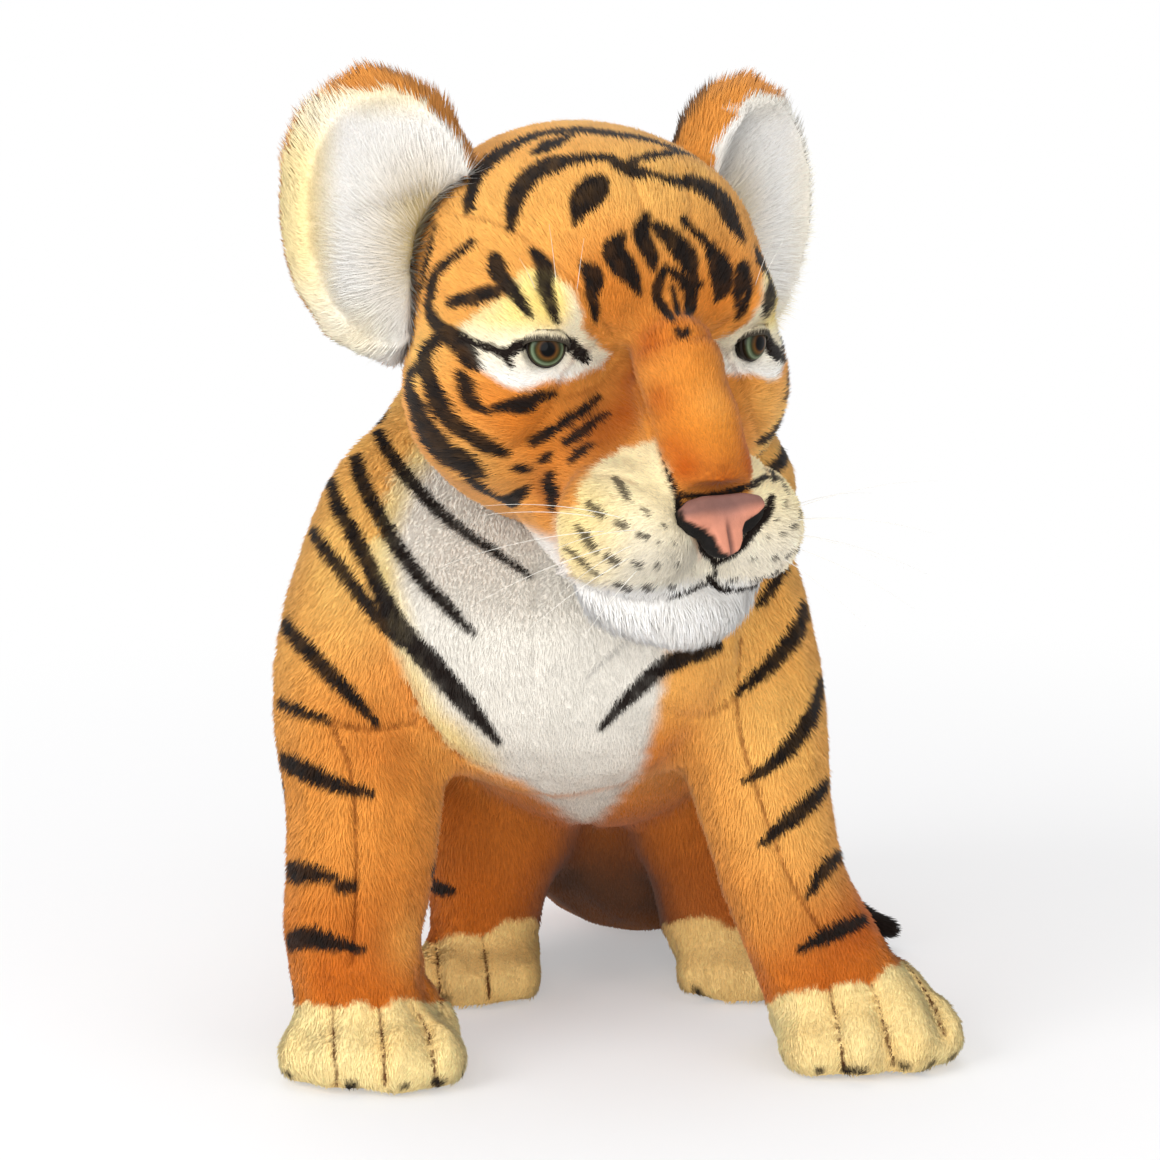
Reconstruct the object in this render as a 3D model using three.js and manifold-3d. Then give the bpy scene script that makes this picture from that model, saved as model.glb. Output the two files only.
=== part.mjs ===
// A plush tiger cub that sits on its rump with both front legs straight and its head turned to its left.
// Millimetres, +Z up. The tiger faces -Y and its own left side is +X. The origin lies on the floor in the
// tiger's middle plane, under the pellet bag in the seat.

import * as THREE from "three";
import { mergeVertices } from "three/addons/utils/BufferGeometryUtils.js";
import Module from "manifold-3d";

const wasm = await Module();
wasm.setup();

// Fits that all pieces share
const seamGap = 0.3; // between two sewn pieces, or a hard piece and the cloth round it
const floorFlat = 0.5; // depth of the flat that each resting form has
const weld = 0.001;
const clothLayer = 3; // cloth and stuffing between the neck plane and the neck discs

// The seat, which holds the origin
const seatBack = 112; // from the chest's own centre line back to the origin

// Torso
const torsoWidth = 170;
const torsoDepth = 260;
const torsoHeight = 270;
const torsoMiddle = 32;

// Neck joint: a plane square to an axis that leans forward
const neckForward = 22;
const neckDrop = 54; // below the torso's top
const neckHeight = torsoHeight - neckDrop;
const neckLean = 35;
const neckDiscRadius = 24;
const neckDiscThickness = 2.5;
const neckPostRadius = 5;
const neckWasherRadius = 17;
const neckWasherThickness = 1.6;
const neckRingRadius = 11;
const neckRingThickness = 3;
const neckPostEnd = 2;

// Head, measured in its own turned frame
const headSide = 18.5;
const headForward = 53.5;
const headRise = 69; // above the neck joint
const headLevel = neckHeight + headRise;
const headTurn = 45;
const headRoll = 1.5;
const headWidth = 150;
const headDepth = 160;
const headHeight = 180;

// Muzzle
const bridgeWidth = 40;
const bridgeDepth = 50;
const bridgeHeight = 66;
const bridgeForward = 70;
const bridgeDrop = 36;
const padWidth = 50;
const padDepth = 52;
const padHeight = 50;
const padSide = 21;
const padForward = 72;
const padDrop = 76;
const chinWidth = 58;
const chinDepth = 44;
const chinHeight = 32;
const chinForward = 66;
const chinDrop = 101;

// Nose
const noseWidth = 35;
const noseHeight = 25;
const noseDepth = 7;
const noseRound = 2.2;
const noseForward = 92;
const noseDrop = 71;
const noseLean = 12;
const noseShankRadius = 2.5;
const noseShankLength = 15;

// Eyes
const eyeRadius = 8.2;
const eyeDome = 4.6;
const eyeRim = 1.2;
const eyeShankRadius = 2.4;
const eyeShankLength = 15;
const eyeSide = 42;
const eyeForward = 46;
const eyeDrop = 15;
const eyeTurn = 20;
const eyeWasherRadius = 9;
const eyeWasherThickness = 1.5;
const shankTip = 1.5; // how far a shank stands past its washer

// Ears
const earWidth = 73;
const earHeight = 106;
const earDepth = 46;
const earSide = 73;
const earBack = 17;
const earRise = 26;
const earTurn = 20;
const earSplay = 7;
const earShell = 3;
const earLining = 2.4;
const earHollow = 15;

// Whiskers
const whiskerRoot = 0.45;
const whiskerTip = 0.2;
const whiskerLength = 62;
const whiskerSag = 9;
const whiskerSeat = 4;

// Front legs: shoulder and foot are the two ends of each leg's line
const shoulderDrop = 34; // below the torso's top
const legHeight = torsoHeight - shoulderDrop;
const ankleHeight = 14;
const rightShoulderSide = 52;
const rightShoulderForward = 4;
const rightAnkleSide = 57;
const rightAnkleForward = 90;
const rightLegRadius = 29.5;
const rightLegBow = 18;
const leftShoulderSide = 38;
const leftShoulderForward = 4;
const leftAnkleSide = 106;
const leftAnkleForward = 30;
const leftLegRadius = 25.5;
const leftLegBow = 0;
const legForwardBow = 13;

// Front paws
const pawWidth = 74;
const pawDepth = 80;
const pawHeight = 36;
const rightPawSide = 50;
const rightPawForward = 92;
const rightPawTurn = 8;
const leftPawSide = 117;
const leftPawForward = 29;
const leftPawTurn = 32;

// Thighs and hind paws
const thighWidth = 80;
const thighDepth = 110;
const thighHeight = 108;
const thighSide = 42;
const rightThighMiddle = 44;
const leftThighMiddle = 70;
const thighLevel = 62;
const hindPawWidth = 56;
const hindPawDepth = 76;
const hindPawHeight = 32;
const rightHindPawSide = 43;
const rightHindPawBack = 12;
const leftHindPawSide = 58;
const leftHindPawBack = 46;
const hindPawTurn = 10;

// Tail
const tailRootOut = 8; // past the torso's back
const tailRootBack = torsoMiddle + torsoDepth / 2 + tailRootOut;
const tailRootHeight = 44;
const tailRadius = 12;
const tailRootBall = 15;
const tailReach = 107;
const tailSweepBack = 24;
const tailTipBack = 104;
const tailTipShare = 0.78; // of the tail's line, where the tip is sewn on
const tailRootRadiusShare = 1.05;
const tailEndRadiusShare = 0.9;
const tipRootRadiusShare = 0.92;
const tipEndRadiusShare = 0.62;
const tailWireRadius = 1.2;
const tailWireStartShare = 0.02;
const tailWireEndShare = 0.97;

// Wire in the front legs and pellet bag in the seat
const legWireRadius = 1.6;
const legWireDrop = 40; // below the shoulders
const legWireTop = legHeight - legWireDrop;
const legWireDip = 48; // between the shoulders, to pass under the neck joint
const legWireShares = [0.45, 0.72, 0.97]; // of each leg's line
const pelletBagWidth = 78;
const pelletBagDepth = 66;
const pelletBagHeight = 34;
const pelletBagLevel = 26;
const closingSeamWidth = 1;
const closingSeamLength = 24;
const closingSeamSide = 14;

// Lobes are shares of half the form's width, depth and height: place x, y, z, then radii rx, ry, rz.
const torsoLobeShares = [
  { x: 0, y: -0.13, z: 0.51, rx: 0.98, ry: 0.46, rz: 0.46 },
  { x: 0, y: -0.55, z: 0.2, rx: 0.9, ry: 0.42, rz: 0.5 },
  { x: 0, y: 0, z: 0.02, rx: 0.88, ry: 0.56, rz: 0.54 },
  { x: 0, y: 0.58, z: -0.51, rx: 0.83, ry: 0.46, rz: 0.5 },
  { x: -0.5, y: 0.04, z: 0.6, rx: 0.52, ry: 0.32, rz: 0.32 },
];

const headLobeShares = [
  { x: 0, y: 0.1, z: 0.09, rx: 0.85, ry: 0.78, rz: 0.6 },
  { x: 0, y: -0.3, z: 0.2, rx: 0.64, ry: 0.44, rz: 0.38 },
  ...pair({ x: 0.57, y: -0.14, z: -0.36, rx: 0.42, ry: 0.46, rz: 0.4 }),
  ...pair({ x: 0.4, y: -0.54, z: 0, rx: 0.27, ry: 0.18, rz: 0.13 }),
  { x: 0, y: -0.42, z: -0.8, rx: 0.47, ry: 0.48, rz: 0.38 },
  { x: 0, y: -0.68, z: -0.69, rx: 0.43, ry: 0.34, rz: 0.34 },
  { x: 0, y: 0.22, z: -0.46, rx: 0.74, ry: 0.62, rz: 0.5 },
];

const bridgeLobeShares = [
  { x: 0, y: 0.25, z: 0.45, rx: 0.85, ry: 0.7, rz: 0.6 },
  { x: 0, y: -0.15, z: -0.1, rx: 0.9, ry: 0.7, rz: 0.55 },
  { x: 0, y: -0.5, z: -0.55, rx: 0.98, ry: 0.6, rz: 0.42 },
];

const padLobeShares = [
  { x: 0, y: 0, z: 0, rx: 0.95, ry: 0.9, rz: 0.92 },
  { x: 0.1, y: 0.3, z: 0.2, rx: 0.85, ry: 0.7, rz: 0.8 },
];

const chinLobeShares = [
  { x: 0, y: -0.1, z: 0, rx: 0.8, ry: 0.85, rz: 0.95 },
  ...pair({ x: 0.45, y: 0.2, z: 0.05, rx: 0.5, ry: 0.7, rz: 0.8 }),
];

const toeLobeShares = [
  ...pair({ x: 0.26, y: -0.55, z: -0.42, rx: 0.29, ry: 0.44, rz: 0.82 }),
  ...pair({ x: 0.7, y: -0.36, z: -0.44, rx: 0.28, ry: 0.44, rz: 0.76 }),
];

const pawLobeShares = [
  { x: 0, y: 0.2, z: -0.2, rx: 0.86, ry: 0.74, rz: 1.16 },
  ...toeLobeShares,
];

const thighLobeShares = [
  { x: 0, y: 0.2, z: 0.2, rx: 0.92, ry: 0.78, rz: 0.78 },
  { x: 0, y: -0.35, z: 0.1, rx: 0.82, ry: 0.6, rz: 0.62 },
  { x: -0.05, y: -0.4, z: -0.6, rx: 0.6, ry: 0.48, rz: 0.5 },
];

// Rings down a front leg: share of the way from shoulder to ankle, bow, lean forward, and radius.
const legRingShares = [
  { along: 0.03, bow: 0, lean: -0.1, radius: 0.7 },
  { along: 0.1, bow: 0.45, lean: -0.35, radius: 1.05 },
  { along: 0.21, bow: 0.85, lean: -0.65, radius: 1.2 },
  { along: 0.335, bow: 0.95, lean: -0.58, radius: 1.28 },
  { along: 0.45, bow: 0.9, lean: -0.1, radius: 1.28 },
  { along: 0.54, bow: 0.66, lean: 0.45, radius: 1.2 },
  { along: 0.64, bow: 0.4, lean: 0.9, radius: 1.05 },
  { along: 0.74, bow: 0.28, lean: 1, radius: 0.98 },
  { along: 0.845, bow: 0.3, lean: 0.75, radius: 0.92 },
  { along: 0.94, bow: 0.08, lean: 0.25, radius: 0.9 },
];

// The tail's line: shares of its reach to the side, its sweep back or its way forward, and its drop.
const tailPathShares = [
  { side: 0.09, sweep: 0.4, forward: 0, rise: 0.72 },
  { side: 0.3, sweep: 0.75, forward: 0, rise: 0.28 },
  { side: 0.54, sweep: 0.4, forward: 0, rise: 0.02 },
  { side: 0.67, sweep: 0, forward: 0.3, rise: 0 },
  { side: 0.74, sweep: 0, forward: 0.62, rise: -0.03 },
  { side: 0.87, sweep: 0, forward: 0.88, rise: -0.08 },
  { side: 1, sweep: 0, forward: 0.97, rise: -0.12 },
];

// Where the whiskers leave a pad, as shares of its half width and half height, with their directions.
const whiskerShares = [
  { x: 0.55, z: 0.3, rise: 0.16, back: 0.1 },
  { x: 0.72, z: 0, rise: -0.02, back: 0.16 },
  { x: 0.62, z: -0.3, rise: -0.2, back: 0.06 },
  { x: 0.42, z: 0.05, rise: -0.1, back: -0.22 },
];

// Curves up one half of the nose's outline from its lowest point: where each bends and where it ends,
// as shares of its half width and half height.
const noseCurveShares = [
  { bendX: 0.34, bendY: -1, x: 0.42, y: -0.35 },
  { bendX: 1.05, bendY: -0.1, x: 1, y: 0.55 },
  { bendX: 0.85, bendY: 1.1, x: 0, y: 0.95 },
];

const ballShares = [{ x: 0, y: 0, z: 0, rx: 1, ry: 1, rz: 1 }];

// How softly the lobes of a form run into each other, as shares of its least half size
const torsoSoftShare = 0.09;
const headSoftShare = 0.07;
const bridgeSoftShare = 0.12;
const padSoftShare = 0.1;
const chinSoftShare = 0.12;
const thighSoftShare = 0.12;
const pawSoftShare = 0.1;
const ballSoftShare = 0.05;

// Mesh density
const largeDetail = 7;
const middleDetail = 4;
const smallDetail = 3;
const surfaceSteps = 80; // steps inwards along each ray of a soft form, before the halvings
const surfaceHalvings = 14;
const roundSides = 16;
const legSides = 12;
const roundCap = 3; // rings in a rounded end
const domeSteps = 5;
const noseCurveSteps = 3;
const noseBevelSteps = 2;
const wireSides = 6;
const legWireSteps = 32;
const tailWireSteps = 20;
const tailWirePoints = 7;
const tailRingCount = 13;
const tipRingCount = 5;
const whiskerSides = 4;
const whiskerRings = 4;
const whiskerCap = 1;

function pair(lobe) {
  return [lobe, { ...lobe, x: -lobe.x }];
}

// Booleans

function solidOf(geometry) {
  const bare = geometry.index ? geometry.toNonIndexed() : geometry.clone();
  bare.deleteAttribute("normal");
  bare.deleteAttribute("uv");
  const merged = mergeVertices(bare, weld);
  const corners = merged.index.array;
  const kept = [];
  for (let i = 0; i < corners.length; i += 3) {
    const [a, b, c] = [corners[i], corners[i + 1], corners[i + 2]];
    if (a !== b && b !== c && c !== a) {
      kept.push(a, b, c);
    }
  }
  const vertProperties = merged.attributes.position.array;
  const made = new wasm.Manifold(
    new wasm.Mesh({ numProp: 3, vertProperties, triVerts: new Uint32Array(kept) }),
  );
  if (made.volume() >= 0) {
    return made;
  }
  const flipped = kept.map((v, i) => (i % 3 === 1 ? kept[i + 1] : i % 3 === 2 ? kept[i - 1] : v));
  return new wasm.Manifold(
    new wasm.Mesh({ numProp: 3, vertProperties, triVerts: new Uint32Array(flipped) }),
  );
}

function geometryOf(solid) {
  const mesh = solid.getMesh();
  const places = new Float32Array(mesh.numVert * 3);
  for (let i = 0; i < mesh.numVert; i++) {
    places.set(mesh.vertProperties.subarray(i * mesh.numProp, i * mesh.numProp + 3), i * 3);
  }
  const geometry = new THREE.BufferGeometry();
  geometry.setAttribute("position", new THREE.BufferAttribute(places, 3));
  geometry.setIndex(new THREE.BufferAttribute(new Uint32Array(mesh.triVerts), 1));
  geometry.computeVertexNormals();
  return geometry;
}

// The largest body of a cut form, so that no crumb is left beside it.
function cut(geometry, tools) {
  const left = tools.reduce((rest, tool) => rest.subtract(solidOf(tool)), solidOf(geometry));
  const bodies = left.decompose();
  const largest = bodies.reduce((best, body) => (body.volume() > best.volume() ? body : best));
  return geometryOf(largest);
}

function join(geometries) {
  return geometryOf(geometries.map(solidOf).reduce((all, next) => all.add(next)));
}

function common(first, second) {
  return geometryOf(solidOf(first).intersect(solidOf(second)));
}

// Frames

function frame(parent, x, y, z, { turn = 0, tilt = 0, roll = 0 } = {}) {
  const group = new THREE.Group();
  group.position.set(x, y, z);
  group.rotation.set(
    THREE.MathUtils.degToRad(tilt),
    THREE.MathUtils.degToRad(roll),
    THREE.MathUtils.degToRad(turn),
    "ZYX",
  );
  parent.add(group);
  group.updateMatrixWorld(true);
  return group;
}

function seenFrom(target, source, geometry) {
  const matrix = target.matrixWorld.clone().invert().multiply(source.matrixWorld);
  return geometry.clone().applyMatrix4(matrix);
}

function addPiece(parent, name, geometry, material) {
  const mesh = new THREE.Mesh(geometry, material);
  mesh.name = name;
  parent.add(mesh);
  return mesh;
}

// Soft forms

// A stuffed form round its own centre: a fine ball pushed out to the smooth union of its lobes.
function swell(width, depth, height, lobeShares, detail, softShare, grow = 0) {
  const half = new THREE.Vector3(width / 2, depth / 2, height / 2);
  const soft = softShare * Math.min(half.x, half.y, half.z);
  const lobes = lobeShares.map((share) => {
    const radii = new THREE.Vector3(share.rx * half.x, share.ry * half.y, share.rz * half.z);
    return {
      place: new THREE.Vector3(share.x * half.x, share.y * half.y, share.z * half.z),
      radii,
      least: Math.min(radii.x, radii.y, radii.z),
    };
  });
  const reach = 2 * half.length();
  const probe = new THREE.Vector3();
  const outside = (direction, distance) => {
    let sum = 0;
    for (const lobe of lobes) {
      probe.copy(direction).multiplyScalar(distance).sub(lobe.place).divide(lobe.radii);
      sum += Math.exp((-(probe.length() - 1) * lobe.least) / soft);
    }
    return -Math.log(sum) > 0;
  };
  const surface = (direction) => {
    let far = reach;
    let near = reach;
    while (near > 0 && outside(direction, near)) {
      far = near;
      near -= reach / surfaceSteps;
    }
    near = Math.max(near, 0);
    for (let i = 0; i < surfaceHalvings; i++) {
      const middle = (near + far) / 2;
      if (outside(direction, middle)) {
        far = middle;
      } else {
        near = middle;
      }
    }
    return (near + far) / 2 + grow;
  };
  const ball = new THREE.IcosahedronGeometry(1, detail);
  ball.deleteAttribute("normal");
  ball.deleteAttribute("uv");
  const geometry = mergeVertices(ball, weld);
  const places = geometry.attributes.position;
  const direction = new THREE.Vector3();
  for (let i = 0; i < places.count; i++) {
    direction.fromBufferAttribute(places, i).normalize();
    direction.multiplyScalar(surface(direction));
    places.setXYZ(i, direction.x, direction.y, direction.z);
  }
  return geometry;
}

// A stuffed tube through rings of changing radius, with rounded ends.
function loft(rings, sides, capRings, grow = 0) {
  const path = new THREE.CatmullRomCurve3(rings.map((ring) => ring.place), false, "centripetal");
  const radii = new THREE.CatmullRomCurve3(
    rings.map((ring, i) => new THREE.Vector3(ring.radius, i, 0)),
    false,
    "centripetal",
  );
  const steps = rings.length - 1;
  const reference = new THREE.Vector3(0, 0, 1);
  const chord = rings[rings.length - 1].place.clone().sub(rings[0].place).normalize();
  if (Math.abs(chord.z) > Math.SQRT1_2) {
    reference.set(1, 0, 0);
  }
  const sections = [];
  const section = (at, slide, scale) => {
    const tangent = path.getTangent(at);
    const side = new THREE.Vector3().crossVectors(reference, tangent).normalize();
    const up = new THREE.Vector3().crossVectors(tangent, side);
    const radius = radii.getPoint(at).x + grow;
    const middle = path.getPoint(at).addScaledVector(tangent, slide * radius);
    sections.push({ middle, side, up, radius: radius * scale });
  };
  for (let i = 1; i < capRings; i++) {
    const angle = (i / capRings) * (Math.PI / 2);
    section(0, -Math.cos(angle), Math.sin(angle));
  }
  for (let i = 0; i <= steps; i++) {
    section(i / steps, 0, 1);
  }
  for (let i = capRings - 1; i >= 1; i--) {
    const angle = (i / capRings) * (Math.PI / 2);
    section(1, Math.cos(angle), Math.sin(angle));
  }
  const places = [];
  const firstRadius = radii.getPoint(0).x + grow;
  const lastRadius = radii.getPoint(1).x + grow;
  const start = path.getPoint(0).addScaledVector(path.getTangent(0), -firstRadius);
  const end = path.getPoint(1).addScaledVector(path.getTangent(1), lastRadius);
  places.push(start.x, start.y, start.z);
  for (const { middle, side, up, radius } of sections) {
    for (let s = 0; s < sides; s++) {
      const angle = (s / sides) * 2 * Math.PI;
      const point = middle.clone();
      point.addScaledVector(side, Math.cos(angle) * radius);
      point.addScaledVector(up, Math.sin(angle) * radius);
      places.push(point.x, point.y, point.z);
    }
  }
  places.push(end.x, end.y, end.z);
  const last = places.length / 3 - 1;
  const corners = [];
  for (let s = 0; s < sides; s++) {
    const next = (s + 1) % sides;
    corners.push(0, 1 + next, 1 + s);
    for (let r = 0; r + 1 < sections.length; r++) {
      const low = 1 + r * sides;
      const high = low + sides;
      corners.push(low + s, low + next, high + next);
      corners.push(low + s, high + next, high + s);
    }
    const top = 1 + (sections.length - 1) * sides;
    corners.push(last, top + s, top + next);
  }
  const geometry = new THREE.BufferGeometry();
  geometry.setAttribute("position", new THREE.Float32BufferAttribute(places, 3));
  geometry.setIndex(corners);
  return geometryOf(solidOf(geometry));
}

// Hard forms, turned round +Z from a profile of radius and height

function turned(profile, sides = roundSides) {
  const points = profile.map(([radius, height]) => new THREE.Vector2(radius, height));
  return geometryOf(solidOf(new THREE.LatheGeometry(points, sides).rotateX(Math.PI / 2)));
}

function disc(radius, low, high, sides = roundSides) {
  return turned([[0, low], [radius, low], [radius, high], [0, high]], sides);
}

function ring(bore, radius, low, high) {
  const profile = [[bore, low], [radius, low], [radius, high], [bore, high], [bore, low]];
  return turned(profile);
}

function block(width, depth, height, x, y, z) {
  return new THREE.BoxGeometry(width, depth, height).translate(x, y, z);
}

function wire(points, radius, steps) {
  const outline = new THREE.Shape().absarc(0, 0, radius, 0, 2 * Math.PI);
  return geometryOf(
    solidOf(
      new THREE.ExtrudeGeometry(outline, {
        steps,
        curveSegments: wireSides / 2,
        extrudePath: new THREE.CatmullRomCurve3(points, false, "centripetal"),
        bevelEnabled: false,
      }),
    ),
  );
}

// Colours and finishes

function finish(color, roughness, metalness = 0) {
  return new THREE.MeshStandardMaterial({ color, roughness, metalness });
}

const orangeFur = finish(0xd08a3e, 0.95);
const whiteFur = finish(0xefe4d6, 0.95);
const creamFur = finish(0xf4dfae, 0.95);
const blackFur = finish(0x1c130c, 0.95);
const pinkNose = finish(0xcd9170, 0.6);
const eyePlastic = finish(0x4a5a32, 0.1);
const nylon = finish(0xf2efe6, 0.4);
const hardPlastic = finish(0xe8e4da, 0.5);
const steelWire = finish(0x8f9296, 0.35, 1);
const cottonBag = finish(0xdcd3c0, 0.9);

// The tiger's frames

const tiger = new THREE.Group();
const body = frame(tiger, 0, -seatBack, 0);
const torsoFrame = frame(body, 0, torsoMiddle, torsoHeight / 2);
const neck = frame(body, 0, -neckForward, neckHeight, { tilt: neckLean });
const head = frame(body, headSide, -headForward, headLevel, { turn: headTurn, roll: headRoll });
const reach = 2 * (torsoWidth + torsoDepth + torsoHeight);

const floorBlock = block(reach, reach, reach, 0, 0, -reach / 2);
const aboveNeck = block(reach, reach, reach, 0, 0, (reach - seamGap) / 2);
const belowNeck = block(reach, reach, reach, 0, 0, -(reach - seamGap) / 2);

// A form in its frame, with the slightly larger one that its smaller neighbours are cut by.
function softForm(parent, width, depth, height, shares, detail, softShare) {
  return {
    parent,
    geometry: swell(width, depth, height, shares, detail, softShare),
    shadow: swell(width, depth, height, shares, detail, softShare, seamGap),
  };
}

function shadowsFor(parent, forms) {
  return forms.map((form) => seenFrom(parent, form.parent, form.shadow));
}

// Neck joint: a disc with a post in the head, then the body's disc, washer and lock ring

const postLength = clothLayer + neckDiscThickness + neckWasherThickness + neckRingThickness + neckPostEnd;
const layers = {
  headLow: clothLayer,
  headHigh: clothLayer + neckDiscThickness,
  discHigh: -clothLayer,
  discLow: -clothLayer - neckDiscThickness,
};
layers.washerLow = layers.discLow - neckWasherThickness - seamGap;
layers.ringLow = layers.washerLow - neckRingThickness - seamGap;
layers.postLow = -postLength - 2 * seamGap;

const neckHeadDisc = join([
  disc(neckDiscRadius, layers.headLow, layers.headHigh),
  disc(neckPostRadius, layers.postLow, layers.headHigh),
]);
const postHole = neckPostRadius + seamGap;
const neckBodyDisc = ring(postHole, neckDiscRadius, layers.discLow, layers.discHigh);
const neckWasher = ring(postHole, neckWasherRadius, layers.washerLow, layers.discLow - seamGap);
const neckLockRing = ring(postHole, neckRingRadius, layers.ringLow, layers.washerLow - seamGap);
const headPocket = join([
  disc(postHole, -seamGap, layers.headHigh),
  disc(neckDiscRadius + seamGap, layers.headLow - seamGap, layers.headHigh + seamGap),
]);
const bodyPocket = join([
  disc(postHole, layers.postLow - seamGap, seamGap),
  disc(neckDiscRadius + seamGap, layers.discLow - seamGap, layers.discHigh + seamGap),
  disc(neckWasherRadius + seamGap, layers.washerLow - seamGap, layers.discHigh),
  disc(neckRingRadius + seamGap, layers.ringLow - seamGap, layers.discHigh),
]);

addPiece(neck, "neck_head_disc", neckHeadDisc, hardPlastic);
addPiece(neck, "neck_body_disc", neckBodyDisc, hardPlastic);
addPiece(neck, "neck_washer", neckWasher, steelWire);
addPiece(neck, "neck_lock_ring", neckLockRing, steelWire);

// Torso, legs and paws

const torso = softForm(
  torsoFrame, torsoWidth, torsoDepth, torsoHeight, torsoLobeShares, largeDetail, torsoSoftShare,
);

function legRings(leg) {
  return legRingShares.map((share) => ({
    place: new THREE.Vector3(
      leg.shoulder.x + (leg.ankle.x - leg.shoulder.x) * share.along + leg.bow * share.bow,
      leg.shoulder.y + (leg.ankle.y - leg.shoulder.y) * share.along - legForwardBow * share.lean,
      leg.shoulder.z + (leg.ankle.z - leg.shoulder.z) * share.along,
    ),
    radius: leg.radius * share.radius,
  }));
}

const frontLegs = [
  {
    name: "right",
    shoulder: new THREE.Vector3(-rightShoulderSide, -rightShoulderForward, legHeight),
    ankle: new THREE.Vector3(-rightAnkleSide, -rightAnkleForward, ankleHeight),
    radius: rightLegRadius,
    bow: -rightLegBow,
    paw: frame(body, -rightPawSide, -rightPawForward, pawHeight / 2 - floorFlat, { turn: rightPawTurn }),
  },
  {
    name: "left",
    shoulder: new THREE.Vector3(leftShoulderSide, -leftShoulderForward, legHeight),
    ankle: new THREE.Vector3(leftAnkleSide, -leftAnkleForward, ankleHeight),
    radius: leftLegRadius,
    bow: leftLegBow,
    paw: frame(body, leftPawSide, -leftPawForward, pawHeight / 2 - floorFlat, { turn: leftPawTurn }),
  },
];
const hindLegs = [
  {
    name: "right",
    thigh: frame(body, -thighSide, rightThighMiddle, thighLevel),
    paw: frame(body, -rightHindPawSide, rightHindPawBack, hindPawHeight / 2 - floorFlat, {
      turn: hindPawTurn,
    }),
  },
  {
    name: "left",
    thigh: frame(body, thighSide, leftThighMiddle, thighLevel),
    paw: frame(body, leftHindPawSide, leftHindPawBack, hindPawHeight / 2 - floorFlat, {
      turn: hindPawTurn,
    }),
  },
];

// One bent wire runs down both front legs and across the shoulders.
const wirePointsIn = (leg) => {
  const rings = legRings(leg);
  const line = new THREE.CatmullRomCurve3(rings.map((ring) => ring.place), false, "centripetal");
  return legWireShares.map((share) => line.getPoint(share));
};
const legWirePoints = [
  ...wirePointsIn(frontLegs[0]).reverse(),
  new THREE.Vector3(-rightShoulderSide, -rightShoulderForward, legWireTop),
  new THREE.Vector3(0, -rightShoulderForward, legWireTop - legWireDip),
  new THREE.Vector3(leftShoulderSide, -leftShoulderForward, legWireTop),
  ...wirePointsIn(frontLegs[1]),
];
const legWire = wire(legWirePoints, legWireRadius, legWireSteps);
const legWireHole = wire(legWirePoints, legWireRadius + seamGap, legWireSteps);

// Pellet bag in the seat, under a closing seam that opens at the bottom of the torso
const bagFrame = frame(body, 0, seatBack, pelletBagLevel);
const bag = softForm(
  bagFrame, pelletBagWidth, pelletBagDepth, pelletBagHeight, ballShares, smallDetail, ballSoftShare,
);
const seamLevel = pelletBagLevel / 2 - floorFlat;
const closingSeam = block(
  closingSeamWidth, closingSeamLength, pelletBagLevel, closingSeamSide, seatBack, seamLevel,
);

// Tail

const tailMount = frame(body, 0, tailRootBack, tailRootHeight);
const tailRest = tailRootHeight - tailRadius - 2 * floorFlat;
const tailPoints = [
  new THREE.Vector3(0, 0, 0),
  ...tailPathShares.map(
    (share) =>
      new THREE.Vector3(
        tailReach * share.side,
        tailSweepBack * share.sweep - (tailRootBack - tailTipBack) * share.forward,
        -tailRest * (1 - share.rise),
      ),
  ),
];
const tailRings = (points, first, last) =>
  points.map((place, i) => ({
    place,
    radius: tailRadius * (first + (last - first) * (i / (points.length - 1))),
  }));
const tailCurve = new THREE.CatmullRomCurve3(tailPoints, false, "centripetal");
const tailPart = (from, to, count) =>
  Array.from({ length: count }, (_, i) => tailCurve.getPoint(from + ((to - from) * i) / (count - 1)));
const tailBall = new THREE.SphereGeometry(tailRootBall, roundSides, roundSides / 2).rotateX(Math.PI / 2);
const tailSocket = new THREE.SphereGeometry(
  tailRootBall + seamGap, roundSides, roundSides / 2,
).rotateX(Math.PI / 2);
const tubeLine = tailPart(0, tailTipShare, tailRingCount);
const tubeRings = tailRings(tubeLine, tailRootRadiusShare, tailEndRadiusShare);
const tailTube = loft(tubeRings, legSides, roundCap);
const tailWireLine = tailPart(tailWireStartShare, tailWireEndShare, tailWirePoints);
const tailWire = wire(tailWireLine, tailWireRadius, tailWireSteps);
const tailWireHole = wire(tailWireLine, tailWireRadius + seamGap, tailWireSteps);
const tipLine = tailPart(tailTipShare, 1, tipRingCount);
const tipRings = tailRings(tipLine, tipRootRadiusShare, tipEndRadiusShare);
const tailTip = loft(tipRings, legSides, roundCap);
const tailTipShadow = loft(tipRings, legSides, roundCap, seamGap);

const torsoCuts = [
  seenFrom(torsoFrame, body, floorBlock),
  seenFrom(torsoFrame, neck, aboveNeck),
  seenFrom(torsoFrame, neck, bodyPocket),
  seenFrom(torsoFrame, body, legWireHole),
  seenFrom(torsoFrame, bagFrame, bag.shadow),
  seenFrom(torsoFrame, body, closingSeam),
  seenFrom(torsoFrame, tailMount, tailSocket),
];
addPiece(torsoFrame, "torso", cut(torso.geometry, torsoCuts), orangeFur);
addPiece(body, "front_leg_wire", legWire, steelWire);
addPiece(bagFrame, "pellet_bag", bag.geometry, cottonBag);

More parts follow.
